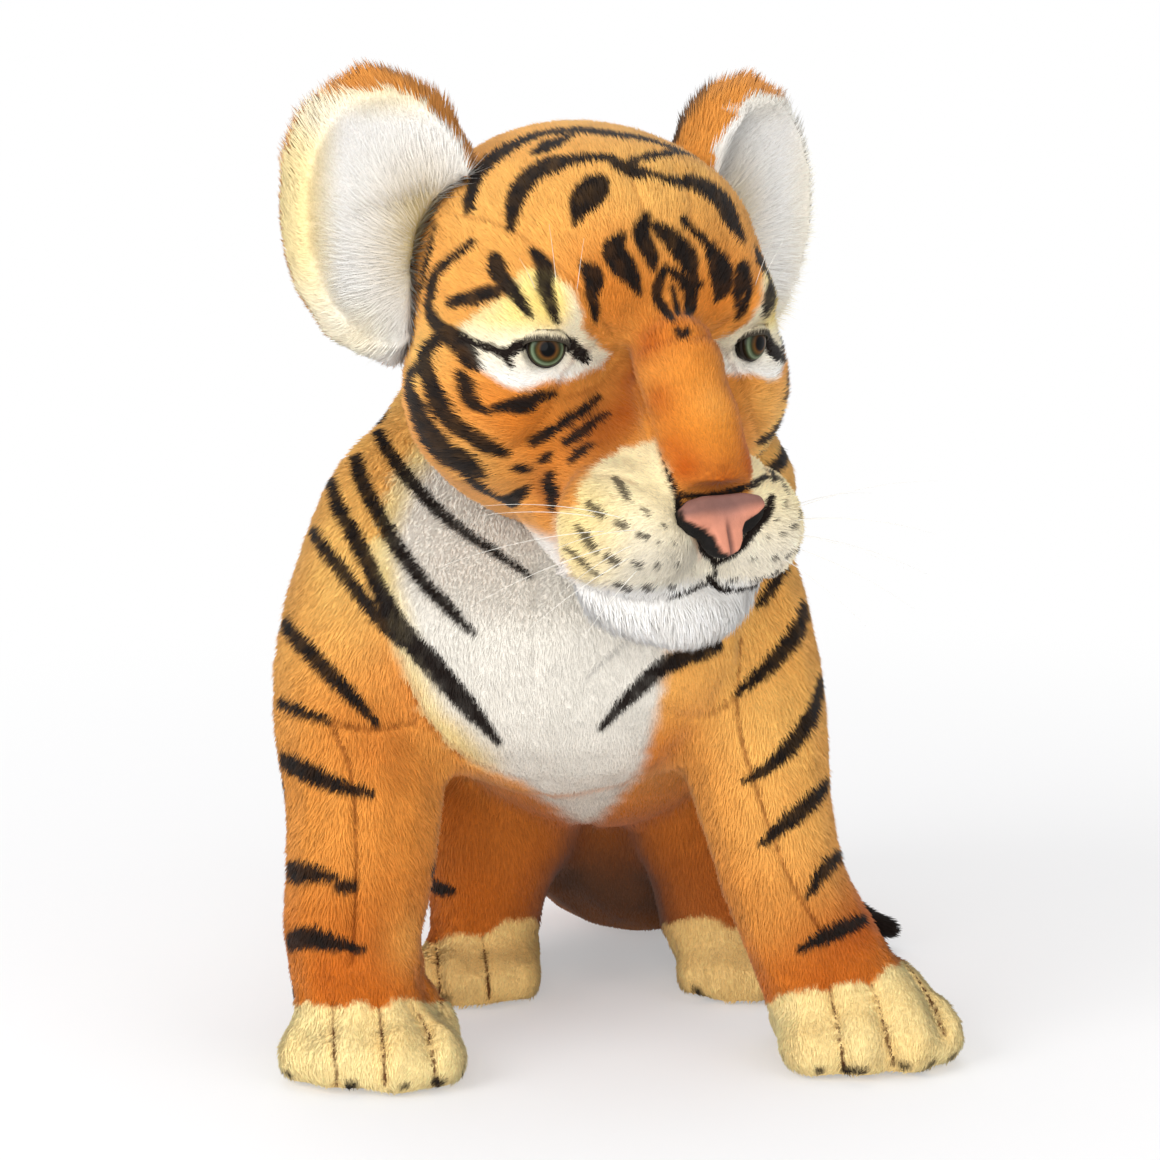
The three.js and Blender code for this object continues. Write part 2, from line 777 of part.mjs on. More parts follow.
for (const leg of frontLegs) {
  const rings = legRings(leg);
  const form = {
    parent: body,
    geometry: loft(rings, legSides, roundCap),
    shadow: loft(rings, legSides, roundCap, seamGap),
  };
  const cuts = [
    ...shadowsFor(body, [torso]),
    seenFrom(body, neck, aboveNeck),
    floorBlock,
    legWireHole,
  ];
  addPiece(body, `front_leg_${leg.name}`, cut(form.geometry, cuts), orangeFur);
  const paw = softForm(
    leg.paw, pawWidth, pawDepth, pawHeight, pawLobeShares, middleDetail, pawSoftShare,
  );
  const pawCuts = [...shadowsFor(leg.paw, [form, torso]), seenFrom(leg.paw, body, floorBlock)];
  addPiece(leg.paw, `front_paw_${leg.name}`, cut(paw.geometry, pawCuts), creamFur);
}

for (const leg of hindLegs) {
  const mirror = leg.name === "right" ? 1 : -1;
  const shares = thighLobeShares.map((share) => ({ ...share, x: share.x * mirror }));
  const thigh = softForm(
    leg.thigh, thighWidth, thighDepth, thighHeight, shares, middleDetail, thighSoftShare,
  );
  const middle = block(reach, reach, reach, (mirror * (reach - seamGap)) / 2, 0, 0);
  const cuts = [
    ...shadowsFor(leg.thigh, [torso]),
    seenFrom(leg.thigh, body, floorBlock),
    seenFrom(leg.thigh, body, middle),
  ];
  addPiece(leg.thigh, `thigh_${leg.name}`, cut(thigh.geometry, cuts), orangeFur);
  const paw = softForm(
    leg.paw, hindPawWidth, hindPawDepth, hindPawHeight, pawLobeShares, middleDetail, pawSoftShare,
  );
  const pawCuts = [...shadowsFor(leg.paw, [thigh, torso]), seenFrom(leg.paw, body, floorBlock)];
  addPiece(leg.paw, `hind_paw_${leg.name}`, cut(paw.geometry, pawCuts), creamFur);
}

addPiece(tailMount, "tail", cut(join([tailBall, tailTube]), [tailTipShadow, tailWireHole]), orangeFur);
addPiece(tailMount, "tail_tip", cut(tailTip, [tailWireHole]), blackFur);
addPiece(tailMount, "tail_wire", tailWire, steelWire);

// Head

const skull = softForm(
  head, headWidth, headDepth, headHeight, headLobeShares, largeDetail, headSoftShare,
);

// A washer that grips a shank inside the head, and the pocket that holds both
function fastener(parent, shankRadius, length, washerRadius, thickness) {
  const high = -length + shankTip + thickness;
  const low = -length + shankTip;
  return {
    washer: ring(shankRadius + seamGap, washerRadius, low, high),
    pocket: join([
      disc(shankRadius + seamGap, -length - seamGap, 0),
      disc(washerRadius + seamGap, low - seamGap, high + seamGap),
    ]),
  };
}

const eyes = [-1, 1].map((side) => {
  const name = side < 0 ? "right" : "left";
  const place = frame(head, side * eyeSide, -eyeForward, -eyeDrop, { turn: side * eyeTurn, tilt: 90 });
  const dome = (grow) => {
    const profile = [[0, -eyeShankLength], [eyeShankRadius, -eyeShankLength]];
    profile.push([eyeShankRadius, -eyeRim - grow], [eyeRadius + grow, -eyeRim - grow]);
    for (let i = 0; i < domeSteps; i++) {
      const angle = (i / domeSteps) * (Math.PI / 2);
      profile.push([(eyeRadius + grow) * Math.cos(angle), (eyeDome + grow) * Math.sin(angle)]);
    }
    profile.push([0, eyeDome + grow]);
    return turned(profile);
  };
  const held = fastener(place, eyeShankRadius, eyeShankLength, eyeWasherRadius, eyeWasherThickness);
  addPiece(place, `eye_${name}`, dome(0), eyePlastic);
  addPiece(place, `eye_washer_${name}`, held.washer, hardPlastic);
  return [seenFrom(head, place, dome(seamGap)), seenFrom(head, place, held.pocket)];
}).flat();

// Nose: a rounded triangle with a shank, wider at the top

const nosePlace = frame(head, 0, -noseForward, -noseDrop, { tilt: 90 - noseLean });
function noseShield(grow) {
  const halfWidth = noseWidth / 2 + grow - noseRound;
  const halfHeight = noseHeight / 2 + grow - noseRound;
  const ends = [{ x: 0, y: -1 }, ...noseCurveShares];
  const outline = new THREE.Shape();
  const curveTo = (side, bend, end) =>
    outline.quadraticCurveTo(
      side * halfWidth * bend.bendX, halfHeight * bend.bendY, side * halfWidth * end.x, halfHeight * end.y,
    );
  outline.moveTo(0, -halfHeight);
  noseCurveShares.forEach((bend) => curveTo(1, bend, bend));
  for (let i = noseCurveShares.length; i > 0; i--) {
    curveTo(-1, noseCurveShares[i - 1], ends[i - 1]);
  }
  const shield = new THREE.ExtrudeGeometry(outline, {
    depth: noseDepth - 2 * noseRound,
    steps: 1,
    curveSegments: noseCurveSteps,
    bevelThickness: noseRound + grow,
    bevelSize: noseRound,
    bevelSegments: noseBevelSteps,
  }).translate(0, 0, noseRound);
  return join([shield, disc(noseShankRadius + grow, -noseShankLength, noseRound)]);
}
const noseHeld = fastener(
  nosePlace, noseShankRadius, noseShankLength, eyeWasherRadius, eyeWasherThickness,
);
addPiece(nosePlace, "nose", noseShield(0), pinkNose);
addPiece(nosePlace, "nose_washer", noseHeld.washer, hardPlastic);
const noseShadow = noseShield(seamGap);

const bridgeFrame = frame(head, 0, -bridgeForward, -bridgeDrop);
const bridge = softForm(
  bridgeFrame, bridgeWidth, bridgeDepth, bridgeHeight, bridgeLobeShares, middleDetail, bridgeSoftShare,
);
const chinFrame = frame(head, 0, -chinForward, -chinDrop);
const chin = softForm(
  chinFrame, chinWidth, chinDepth, chinHeight, chinLobeShares, smallDetail, chinSoftShare,
);

const headCuts = [
  seenFrom(head, neck, belowNeck),
  seenFrom(head, neck, headPocket),
  seenFrom(head, nosePlace, noseHeld.pocket),
  seenFrom(head, nosePlace, noseShadow),
  ...eyes,
];
addPiece(head, "head", cut(skull.geometry, headCuts), orangeFur);

const noseCuts = (parent) => [
  seenFrom(parent, nosePlace, noseShadow),
  seenFrom(parent, nosePlace, noseHeld.pocket),
];
addPiece(
  bridgeFrame,
  "nose_bridge",
  cut(bridge.geometry, [...shadowsFor(bridgeFrame, [skull]), ...noseCuts(bridgeFrame)]),
  orangeFur,
);

// Whisker pads, whiskers and chin

const padForms = [];
for (const side of [-1, 1]) {
  const name = side < 0 ? "right" : "left";
  const padFrame = frame(head, side * padSide, -padForward, -padDrop);
  const shares = padLobeShares.map((share) => ({ ...share, x: share.x * side }));
  const pad = softForm(padFrame, padWidth, padDepth, padHeight, shares, middleDetail, padSoftShare);
  padForms.push(pad);
  const middle = block(reach, reach, reach, (-side * (reach - seamGap)) / 2, 0, 0);
  const whiskers = whiskerShares.map((share, i) => {
    const direction = new THREE.Vector3(side, share.back, share.rise).normalize();
    const root = new THREE.Vector3(
      (side * share.x * padWidth) / 2,
      -Math.sqrt(1 - share.x ** 2 - share.z ** 2) * (padDepth / 2),
      (share.z * padHeight) / 2,
    );
    const rings = Array.from({ length: whiskerRings }, (_, step) => {
      const along = step / (whiskerRings - 1);
      const place = root.clone().addScaledVector(direction, whiskerLength * along - whiskerSeat);
      place.z -= whiskerSag * along * along;
      return { place, radius: whiskerRoot + (whiskerTip - whiskerRoot) * along };
    });
    addPiece(padFrame, `whisker_${name}_${i + 1}`, loft(rings, whiskerSides, whiskerCap), nylon);
    return loft(rings, whiskerSides, whiskerCap, seamGap);
  });
  const cuts = [
    ...shadowsFor(padFrame, [skull, bridge]),
    seenFrom(padFrame, head, middle),
    ...noseCuts(padFrame),
    ...whiskers,
  ];
  addPiece(padFrame, `whisker_pad_${name}`, cut(pad.geometry, cuts), whiteFur);
}
const chinCuts = [...shadowsFor(chinFrame, [skull, ...padForms]), seenFrom(chinFrame, neck, belowNeck)];
addPiece(chinFrame, "chin", cut(chin.geometry, chinCuts), whiteFur);

// Ears: a furry cup with a pale lining inside it

for (const side of [-1, 1]) {
  const name = side < 0 ? "right" : "left";
  const earFrame = frame(head, side * earSide, earBack, earRise, {
    turn: side * earTurn,
    roll: side * earSplay,
  });
  const cup = (inset, hollow) => {
    const width = earWidth - 2 * inset;
    const depth = earDepth - 2 * inset;
    const height = earHeight - 2 * inset;
    const form = swell(width, depth, height, ballShares, smallDetail, ballSoftShare);
    return form.translate(0, -hollow, 0);
  };
  const shell = cut(cup(0, 0), [cup(earShell, earHollow), ...shadowsFor(earFrame, [skull])]);
  const liningOuter = common(cup(earShell + seamGap, earHollow), cup(seamGap, 0));
  const lining = cut(liningOuter, [
    cup(earShell + seamGap + earLining / 2, earHollow + earLining),
    ...shadowsFor(earFrame, [skull]),
  ]);
  addPiece(earFrame, `ear_outer_${name}`, shell, orangeFur);
  addPiece(earFrame, `ear_inner_${name}`, lining, whiteFur);
}

export default tiger;
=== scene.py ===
"""A sitting plush tiger cub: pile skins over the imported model, airbrushed stripes, eyes, nose, whiskers."""

import math

import bmesh
import bpy
import numpy as np
from bpy.props import FloatProperty, FloatVectorProperty, PointerProperty
from bpy.types import Operator, Panel, PropertyGroup
from mathutils import Matrix, Vector
from mathutils.bvhtree import BVHTree
from mathutils.kdtree import KDTree


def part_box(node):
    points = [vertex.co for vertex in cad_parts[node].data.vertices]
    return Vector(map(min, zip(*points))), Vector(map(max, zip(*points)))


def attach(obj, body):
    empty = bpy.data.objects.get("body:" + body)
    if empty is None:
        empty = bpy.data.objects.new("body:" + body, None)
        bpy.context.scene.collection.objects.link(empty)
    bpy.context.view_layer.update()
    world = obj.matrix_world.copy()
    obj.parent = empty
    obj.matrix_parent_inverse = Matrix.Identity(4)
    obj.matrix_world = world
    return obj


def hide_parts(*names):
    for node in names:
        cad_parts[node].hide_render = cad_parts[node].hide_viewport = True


bl_info = {
    "name": "Plush Tiger Cub",
    "version": (1, 0, 0),
    "blender": (4, 5, 0),
    "location": "View3D > Sidebar > Plush Tiger",
    "description": "Builds the pile, face and tail of a sitting plush tiger cub",
    "category": "Add Mesh",
}

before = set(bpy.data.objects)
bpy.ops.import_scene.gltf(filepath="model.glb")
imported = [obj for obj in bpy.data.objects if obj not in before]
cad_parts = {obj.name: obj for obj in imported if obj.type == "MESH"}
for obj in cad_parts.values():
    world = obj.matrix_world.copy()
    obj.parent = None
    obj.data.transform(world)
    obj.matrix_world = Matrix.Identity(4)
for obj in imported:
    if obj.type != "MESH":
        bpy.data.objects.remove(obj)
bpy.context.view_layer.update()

MM = 0.001
WELD = 0.002 * MM
FAR = 1.0
TINY = 1e-12

# The photograph's view
PHOTO_SIDE = 1160
PHOTO_FOCAL = 3120
SENSOR_WIDTH = 36
CAMERA_TURN = math.radians(15)
CAMERA_RISE = math.radians(10)
CAMERA_DISTANCE = 1.2
CAMERA_TARGET = Vector((2, -112, 170)) * MM

# The tiger's frames
NECK_PLACE = Vector((0, -134, 216)) * MM
NECK_LEAN = math.radians(35)
NECK_AXIS = Vector((0, -math.sin(NECK_LEAN), math.cos(NECK_LEAN)))
HEAD_PLACE = Vector((18.5, -165.5, 285)) * MM
HEAD_TURN = math.radians(45)
HEAD_ROLL = math.radians(1.5)
HEAD_TILT = Matrix.Rotation(HEAD_TURN, 4, "Z") @ Matrix.Rotation(HEAD_ROLL, 4, "Y")
HEAD = Matrix.Translation(HEAD_PLACE) @ HEAD_TILT
EYE_PLACE = Vector((42, -46, -15)) * MM
EYE_TURN = math.radians(20)
MUZZLE_PLACE = Vector((0, -96, -62)) * MM
SIDES = {"right": -1, "left": 1}

# Skins: each one's voxel size, and how many times it is smoothed
BODY_SKIN = (2.6 * MM, 7)
HEAD_SKIN = (2.0 * MM, 6)
EAR_SKIN = (1.7 * MM, 5)
TAIL_SKIN = (2.0 * MM, 4)
NOSE_SKIN = (0.8 * MM, 5)
SMOOTH_FACTOR = 0.5
SEAM_LAP = 0.5 * MM
LID_WELD = 0.05 * MM

# How deep the skins lie under the pile
BODY_INSET = 2.8 * MM
HEAD_INSET = 2.4 * MM
MUZZLE_INSET = 1.8 * MM
EAR_INSET = 0.9 * MM
TAIL_INSET = 4.2 * MM
FLOOR_CLEARANCE = 0.3 * MM

# The flat at the neck: it stays bare and flat in its middle, and its rim is rounded
BARE_NECK_RADIUS = 26 * MM
BARE_NECK_HEIGHT = 5 * MM
BARE_NECK_FACING = 0.75
NECK_FLAT_NEAR = 4 * MM
NECK_FLAT_FAR = 12 * MM
RIM_REACH = 30 * MM
RIM_START = 44 * MM
RIM_PASSES = 70

# Strokes and areas taken over from the photograph
STROKE_STEPS = 5
STROKE_SOFTNESS = 0.9 * MM
STROKE_GROW = 0.85 * MM
STROKE_RAGGED = 0.35 * MM
STROKE_CELL = 2.2 * MM
STROKE_SEED = 3
LINER_GROW = 0.45 * MM
MOUTH_GROW = 0.3 * MM
TOE_SEAM_GROW = -0.25 * MM
ZONE_SOFTNESS = 2.2 * MM
LEAST_SEEN = 0.45
BODY_OUTSIDE = 0.3
LEG_OUTSIDE = 60 * MM
BOTH_SIDES = (False, True)

# Pile
TUFT_SIZE = 5.5 * MM
TUFT_SEED = 5
LEAN_CELL = TUFT_SIZE * 0.7
LEAN_SEED = 6
LEAN_WANDER = 0.12
LEAN_SPREAD = 0.08
MOST_STRANDS = 49000
# Shortest and longest strands, and thinnest and widest ones, as shares of the settings
LENGTH_SPREAD = (0.75, 1.15)
WIDTH_SPREAD = (0.75, 1.3)
NEEDLE_SIDES = 3
NEEDLE_TURN = math.radians(30)
NEEDLE_TWIST = 0.1
NEEDLE_ROUNDNESS = 0.3
NEEDLE_FORWARD = 0.1
# Strand colours are darker at the root, as painted shade among the strands, and lighter at the tip, as
# painted light
ROOT_SHADE = 0.84
TIP_SHADE = 1.05
BAKE_MARGIN_SHARE = 0.18
BODY_UNDER = 5 * MM
TAIL_UNDER = 3 * MM
UNDER_FACING = -0.7

# The start of each piece's random numbers
BODY_SEED = 7
HEAD_SEED = 11
EAR_SEED = 17
TAIL_SEED = 23
LID_SEED = 31

# Parts of the body skin, by the solid that each place of it came from
TORSO = ("torso",)
FRONT_LEGS = ("front_leg_right", "front_leg_left")
FRONT_PAWS = ("front_paw_right", "front_paw_left")
THIGHS = ("thigh_right", "thigh_left")
HIND_PAWS = ("hind_paw_right", "hind_paw_left")
PAWS = FRONT_PAWS + HIND_PAWS
PAW_LIMBS = dict(zip(PAWS, FRONT_LEGS + THIGHS))
BODY_NODES = TORSO + FRONT_LEGS + FRONT_PAWS + THIGHS + HIND_PAWS
HEAD_NODES = ("head", "nose_bridge", "whisker_pad_right", "whisker_pad_left", "chin")


def tint(red, green, blue):
    """A colour from its screen values, as a linear one."""
    share = np.array([red, green, blue]) / 255
    return np.where(share <= 0.04045, share / 12.92, ((share + 0.055) / 1.055) ** 2.4)


GOLD = tint(254, 198, 110)
ORANGE = tint(242, 167, 80)
DEEP_ORANGE = tint(220, 124, 34)
RUST = tint(182, 80, 12)
CREAM = tint(255, 233, 180)
STRAW = tint(255, 222, 130)
WHITE = tint(255, 251, 245)
IVORY = tint(252, 238, 206)
PAD_IVORY = tint(244, 234, 212)
BLACK = tint(30, 22, 18)
GREY = tint(150, 146, 140)
PINK = tint(208, 138, 112)
# Painted shade on the nose
NOSE_SHADE_MAUVE = tint(140, 100, 92)
BRIDGE = tint(228, 130, 22)
CHEEK = tint(160, 78, 20)
# Painted shade in the ears' hollows
EAR_HOLLOW_SHADE = tint(198, 170, 100)
BIB_WHITE = tint(236, 230, 218)
TOE_LINE = tint(96, 54, 26)
PAW_CREAM = tint(255, 228, 162)
# Painted shade for the front of the seat, between the hind legs
SEAT_PAINTED_SHADE = tint(104, 74, 56)


# Stripes in the photograph: x and y in its pixels, then the stripe's width there in pixels. The ones on the
# right half of the face are mirrored to its other half.
HEAD_STRIPES_PX = [
    [(437, 226, 1.5), (432, 246, 3), (427, 268, 4), (422, 290, 2.5)],
    [(474, 242, 3), (455, 257, 6), (438, 274, 8), (432, 293, 10), (432, 314, 9), (440, 328, 10)],
    [(440, 328, 10), (456, 340, 18), (466, 350, 19), (472, 362, 12), (479, 368, 3)],
    [
        (440, 338, 12), (427, 356, 14), (431, 380, 15), (441, 402, 18), (453, 421, 14), (474, 436, 12),
        (489, 446, 12), (506, 453, 4),
    ],
    [
        (430, 356, 8), (417, 372, 12), (412, 388, 14), (419, 410, 18), (430, 433, 20), (446, 450, 20),
        (463, 461, 18), (483, 472, 5),
    ],
    [(466, 470, 6), (480, 483, 13), (494, 492, 15), (507, 499, 15), (518, 495, 12), (528, 485, 4)],
    [(495, 258, 8), (497, 268, 17), (502, 277, 12), (512, 289, 12), (521, 301, 8), (530, 314, 3)],
    [(452, 303, 8), (474, 298, 12), (491, 293, 11), (506, 288, 6)],
    [(533, 251, 4), (544, 267, 13), (545, 284, 13), (550, 301, 9), (557, 321, 3)],
    [(584, 267, 6), (593, 277, 17), (591, 293, 9), (593, 306, 7), (595, 319, 3)],
    [(468, 198, 5), (467, 213, 2)],
    [(459, 374, 5), (467, 386, 14), (472, 400, 10), (486, 411, 3)],
    [(552, 472, 4), (549, 484, 11), (553, 494, 11), (553, 507, 5)],
]

# These cross the middle of the forehead, so the photograph shows both halves of them.
CROWN_STRIPES_PX = [
    [
        (472, 207, 6), (477, 180, 13), (489, 164, 15), (507, 151, 12), (538, 137, 8), (575, 132, 8),
        (611, 136, 10), (643, 141, 8), (669, 149, 7), (694, 160, 4),
    ],
    [(536, 155, 4), (550, 147, 14), (573, 136, 5)],
    [
        (511, 229, 5), (516, 203, 15), (526, 183, 18), (546, 168, 15), (575, 161, 8), (606, 159, 6),
        (622, 168, 13),
    ],
    [(614, 162, 5), (624, 168, 12), (638, 174, 9)],
    [
        (622, 168, 9), (634, 162, 6), (656, 157, 6), (678, 155, 8), (697, 159, 8), (713, 167, 8),
        (726, 178, 7), (738, 191, 6), (749, 203, 5), (757, 218, 4), (762, 232, 2),
    ],
    [(638, 173, 7), (647, 173, 4), (663, 180, 4), (680, 184, 8), (693, 183, 11)],
    [(690, 182, 8), (700, 187, 16), (712, 194, 19), (722, 204, 17), (731, 220, 13), (741, 240, 3)],
    [(575, 224, 3), (580, 207, 17), (588, 196, 27), (596, 186, 22), (602, 179, 4)],
    [(621, 236, 5), (613, 249, 17), (620, 263, 22), (631, 276, 14), (638, 292, 3)],
    [(647, 215, 4), (641, 231, 14), (645, 245, 14), (651, 257, 10), (652, 268, 3)],
    [
        (653, 224, 4), (663, 232, 11), (674, 243, 17), (686, 256, 19), (691, 270, 9), (694, 280, 5),
        (700, 284, 3),
    ],
    [(665, 267, 3), (658, 281, 7), (657, 296, 7), (665, 311, 6), (673, 322, 3)],
    [(665, 267, 3), (678, 276, 8), (689, 288, 11), (690, 304, 9), (686, 318, 3)],
    [(672, 288, 2), (678, 317, 2)],
    [
        (684, 222, 6), (688, 227, 3), (701, 238, 5), (709, 247, 8), (714, 258, 15), (720, 270, 21),
        (721, 283, 17), (716, 298, 3),
    ],
    [(738, 272, 3), (737, 287, 9), (738, 307, 3)],
    [(756, 252, 3), (765, 266, 8), (770, 281, 8), (767, 300, 8), (765, 312, 3)],
    [(786, 298, 4), (792, 312, 9), (793, 326, 8)],
    [(677, 331, 4), (682, 336, 5), (686, 331, 4)],
]

# Marks of the right cheek, which the left one doesn't have
CHEEK_MARKS_PX = [
    [(494, 409, 4), (510, 405, 10), (524, 404, 15), (538, 396, 7), (553, 394, 3)],
    [(533, 442, 7), (545, 434, 9), (559, 427, 4)],
    [(560, 425, 6), (573, 417, 8), (586, 408, 5), (599, 397, 2)],
    [(566, 442, 5), (579, 434, 8), (592, 423, 6), (607, 414, 2)],
    [(571, 461, 4), (580, 452, 7), (592, 444, 2)],
    [(515, 467, 3), (520, 467, 6), (530, 468, 2)],
    [(541, 461, 3), (546, 457, 5), (551, 454, 2)],
]

# The black lines at the corners of the eyes
LINER_PX = [
    [(531, 343, 9), (517, 346, 10), (507, 352, 9), (491, 348, 7), (475, 343, 6), (462, 338, 5)],
    [(504, 355, 7), (511, 367, 2)],
    [(562, 337, 9), (573, 347, 13), (582, 355, 12), (587, 359, 6)],
    [(764, 336, 10), (772, 348, 16), (780, 356, 12), (792, 358, 5)],
    [(741, 346, 5), (737, 354, 4)],
]

# Dots that the whiskers grow from, on the side of the muzzle that faces the camera
WHISKER_DOTS_PX = [
    [(615, 478, 6), (621, 487, 9), (629, 503, 4)],
    [(643, 510, 4), (647, 515, 5)],
    [(662, 525, 3), (665, 528, 3)],
    [(588, 503, 5), (594, 509, 9), (603, 517, 7)],
    [(617, 522, 7), (623, 528, 8)],
    [(638, 535, 5), (646, 538, 5)],
    [(656, 541, 3), (659, 543, 3)],
    [(670, 543, 3), (674, 545, 3)],
    [(578, 527, 6), (586, 537, 10), (597, 552, 5)],
    [(608, 556, 8), (616, 562, 8)],
    [(633, 562, 5), (639, 566, 6)],
    [(655, 565, 4), (659, 567, 4)],
    [(674, 564, 4), (678, 566, 3)],
    [(565, 546, 4), (579, 557, 7), (597, 573, 4)],
    [(619, 583, 7), (629, 588, 7)],
    [(644, 585, 7), (650, 588, 7)],
    [(668, 584, 6), (673, 588, 5)],
]

# Dark lines round the nose and along the mouth
NOSE_LINES_PX = [
    [(660, 453, 2), (667, 470, 4), (673, 486, 7)],
    [(765, 440, 2), (771, 460, 4), (774, 482, 7)],
    [(674, 488, 5), (677, 503, 8), (682, 516, 11), (694, 530, 14), (704, 548, 12), (716, 563, 8)],
    [(772, 496, 7), (767, 512, 12), (754, 528, 13), (742, 545, 11), (728, 557, 8), (716, 563, 7)],
    [(680, 495, 8), (705, 497, 9), (728, 492, 9), (750, 485, 9), (768, 476, 7)],
]
MOUTH_LINES_PX = [
    [(716, 563, 4), (715, 573, 3), (712, 582, 5)],
    [(668, 597, 1), (684, 593, 3), (696, 588, 3), (712, 580, 5)],
    [(708, 578, 6), (718, 588, 7), (732, 590, 6), (750, 586, 4), (764, 579, 2)],
]
# The fold between the muzzle and the chin, dented and darkened grey as painted shade
MOUTH_FOLD_PX = [
    [
        (566, 560, 3), (574, 574, 4), (590, 588, 4), (611, 596, 4), (636, 600, 4), (658, 600, 4),
        (684, 594, 4), (700, 588, 4), (714, 581, 4),
    ],
    [(714, 581, 4), (722, 588, 4), (738, 589, 4), (754, 584, 4), (770, 575, 4), (781, 566, 3)],
]

BODY_STRIPES_PX = [
    [
        (362, 372, 6), (369, 412, 8), (385, 447, 9), (406, 477, 10), (444, 517, 9), (481, 544, 7),
        (529, 576, 3),
    ],
    [
        (352, 412, 7), (358, 469, 11), (374, 506, 12), (395, 544, 12), (422, 581, 11), (450, 610, 9),
        (473, 634, 3),
    ],
    [
        (330, 452, 7), (336, 501, 10), (358, 544, 13), (379, 589, 15), (401, 629, 18), (436, 669, 20),
        (473, 712, 15), (498, 742, 4),
    ],
    [(308, 499, 6), (318, 538, 10), (344, 573, 11), (374, 613, 12), (401, 642, 10)],
    [(277, 590, 8), (286, 624, 12), (320, 664, 13), (350, 696, 11), (376, 724, 4)],
    [(264, 662, 5), (272, 694, 8), (300, 712, 7), (330, 722, 3)],
    [(281, 758, 12), (300, 769, 17), (335, 785, 12), (371, 795, 4)],
    [(280, 867, 12), (300, 873, 18), (318, 875, 11), (336, 878, 4)],
    [(287, 944, 13), (307, 938, 19), (335, 944, 12), (363, 951, 4)],
    [(601, 728, 3), (629, 698, 10), (661, 669, 14), (690, 655, 16), (718, 646, 11)],
    [(757, 606, 4), (770, 590, 9), (784, 568, 6)],
    [(737, 694, 4), (767, 669, 11), (796, 632, 15), (806, 594, 10)],
    [(744, 783, 3), (778, 760, 11), (810, 717, 15), (821, 672, 9)],
    [(762, 845, 4), (790, 820, 13), (812, 802, 14), (825, 784, 9)],
    [(808, 896, 3), (824, 870, 12), (838, 855, 9)],
    [(800, 950, 3), (833, 933, 14), (864, 920, 9)],
    [(430, 885, 10), (440, 888, 13), (453, 891, 5)],
]
FAINT_STRIPES_PX = [[(588, 677, 2), (610, 657, 4), (628, 642, 2)]]

# Stitched seams: they dent the skin and darken the pile a little
SEAMS_PX = [
    [(538, 560, 2), (534, 640, 2), (534, 720, 2), (545, 782, 2)],
    [(330, 722, 4), (352, 778, 4), (356, 876, 4), (353, 961, 4)],
    [(330, 722, 4), (372, 730, 4), (415, 722, 4)],
    [(740, 640, 4), (738, 720, 4), (760, 800, 4), (790, 880, 4), (820, 930, 4)],
    [(655, 710, 4), (700, 716, 4), (735, 700, 4)],
    [(402, 500, 2), (378, 560, 2), (392, 640, 2), (428, 722, 2), (470, 762, 2), (525, 782, 2)],
    [(655, 722, 2), (640, 770, 2), (600, 816, 2)],
    [(525, 782, 2), (580, 823, 2), (600, 816, 2)],
]
HEAD_SEAMS_PX = [
    [(628, 172, 2), (640, 205, 2), (655, 240, 2)],
    [(455, 215, 2), (500, 225, 2), (540, 250, 2), (580, 290, 2), (612, 335, 2)],
    [(628, 352, 4), (642, 400, 4), (655, 440, 4), (668, 480, 4)],
    [(716, 342, 3), (742, 385, 3), (758, 440, 3), (768, 478, 3)],
    [(640, 352, 3), (668, 340, 3), (700, 338, 3)],
    [(628, 352, 4), (600, 384, 4), (566, 398, 3)],
]
TOE_SEAMS_PX = [
    [(333, 1004, 3), (334, 1050, 5), (338, 1096, 5)],
    [(378, 1002, 3), (383, 1048, 5), (386, 1094, 5)],
    [(410, 1003, 3), (428, 1035, 5), (437, 1086, 5)],
    [(829, 988, 3), (838, 1028, 5), (844, 1070, 5)],
    [(872, 985, 3), (884, 1026, 5), (893, 1064, 5)],
    [(905, 964, 3), (929, 998, 5), (944, 1036, 5)],
    [(436, 942, 3), (439, 975, 5), (441, 1008, 5)],
    [(482, 938, 3), (487, 970, 5), (490, 1004, 5)],
]

# Edges of the pale areas, in pixels of the photograph: the bib, the patch round the eye, the whisker pad, the
# ear's lining and the toes
BIB_PX = [
    (430, 430), (392, 480), (370, 540), (376, 590), (396, 650), (428, 726), (470, 762), (525, 784),
    (562, 812), (582, 826), (600, 818), (640, 772), (656, 722), (668, 652), (706, 628), (716, 560),
    (620, 440),
]
EYE_PATCH_PX = [
    (458, 328), (484, 309), (508, 298), (515, 282), (530, 268), (545, 268), (560, 280), (574, 295),
    (582, 312), (583, 327), (593, 339), (607, 352), (601, 366), (570, 377), (538, 386), (516, 388),
    (495, 381), (478, 368), (470, 352),
]
PAD_PX = [
    (644, 443), (655, 441), (662, 454), (669, 472), (676, 500), (690, 530), (701, 561), (713, 572),
    (711, 583), (683, 594), (656, 598), (629, 600), (611, 600), (592, 600), (570, 575), (558, 545),
    (556, 515), (577, 504), (581, 486), (592, 469), (617, 451),
]
EAR_LINING_PX = [
    (270, 165), (284, 124), (308, 99), (345, 91), (375, 93), (407, 107), (435, 136), (452, 166), (458, 192),
    (440, 200), (425, 330), (400, 390), (352, 372), (312, 340), (280, 280), (268, 220),
]
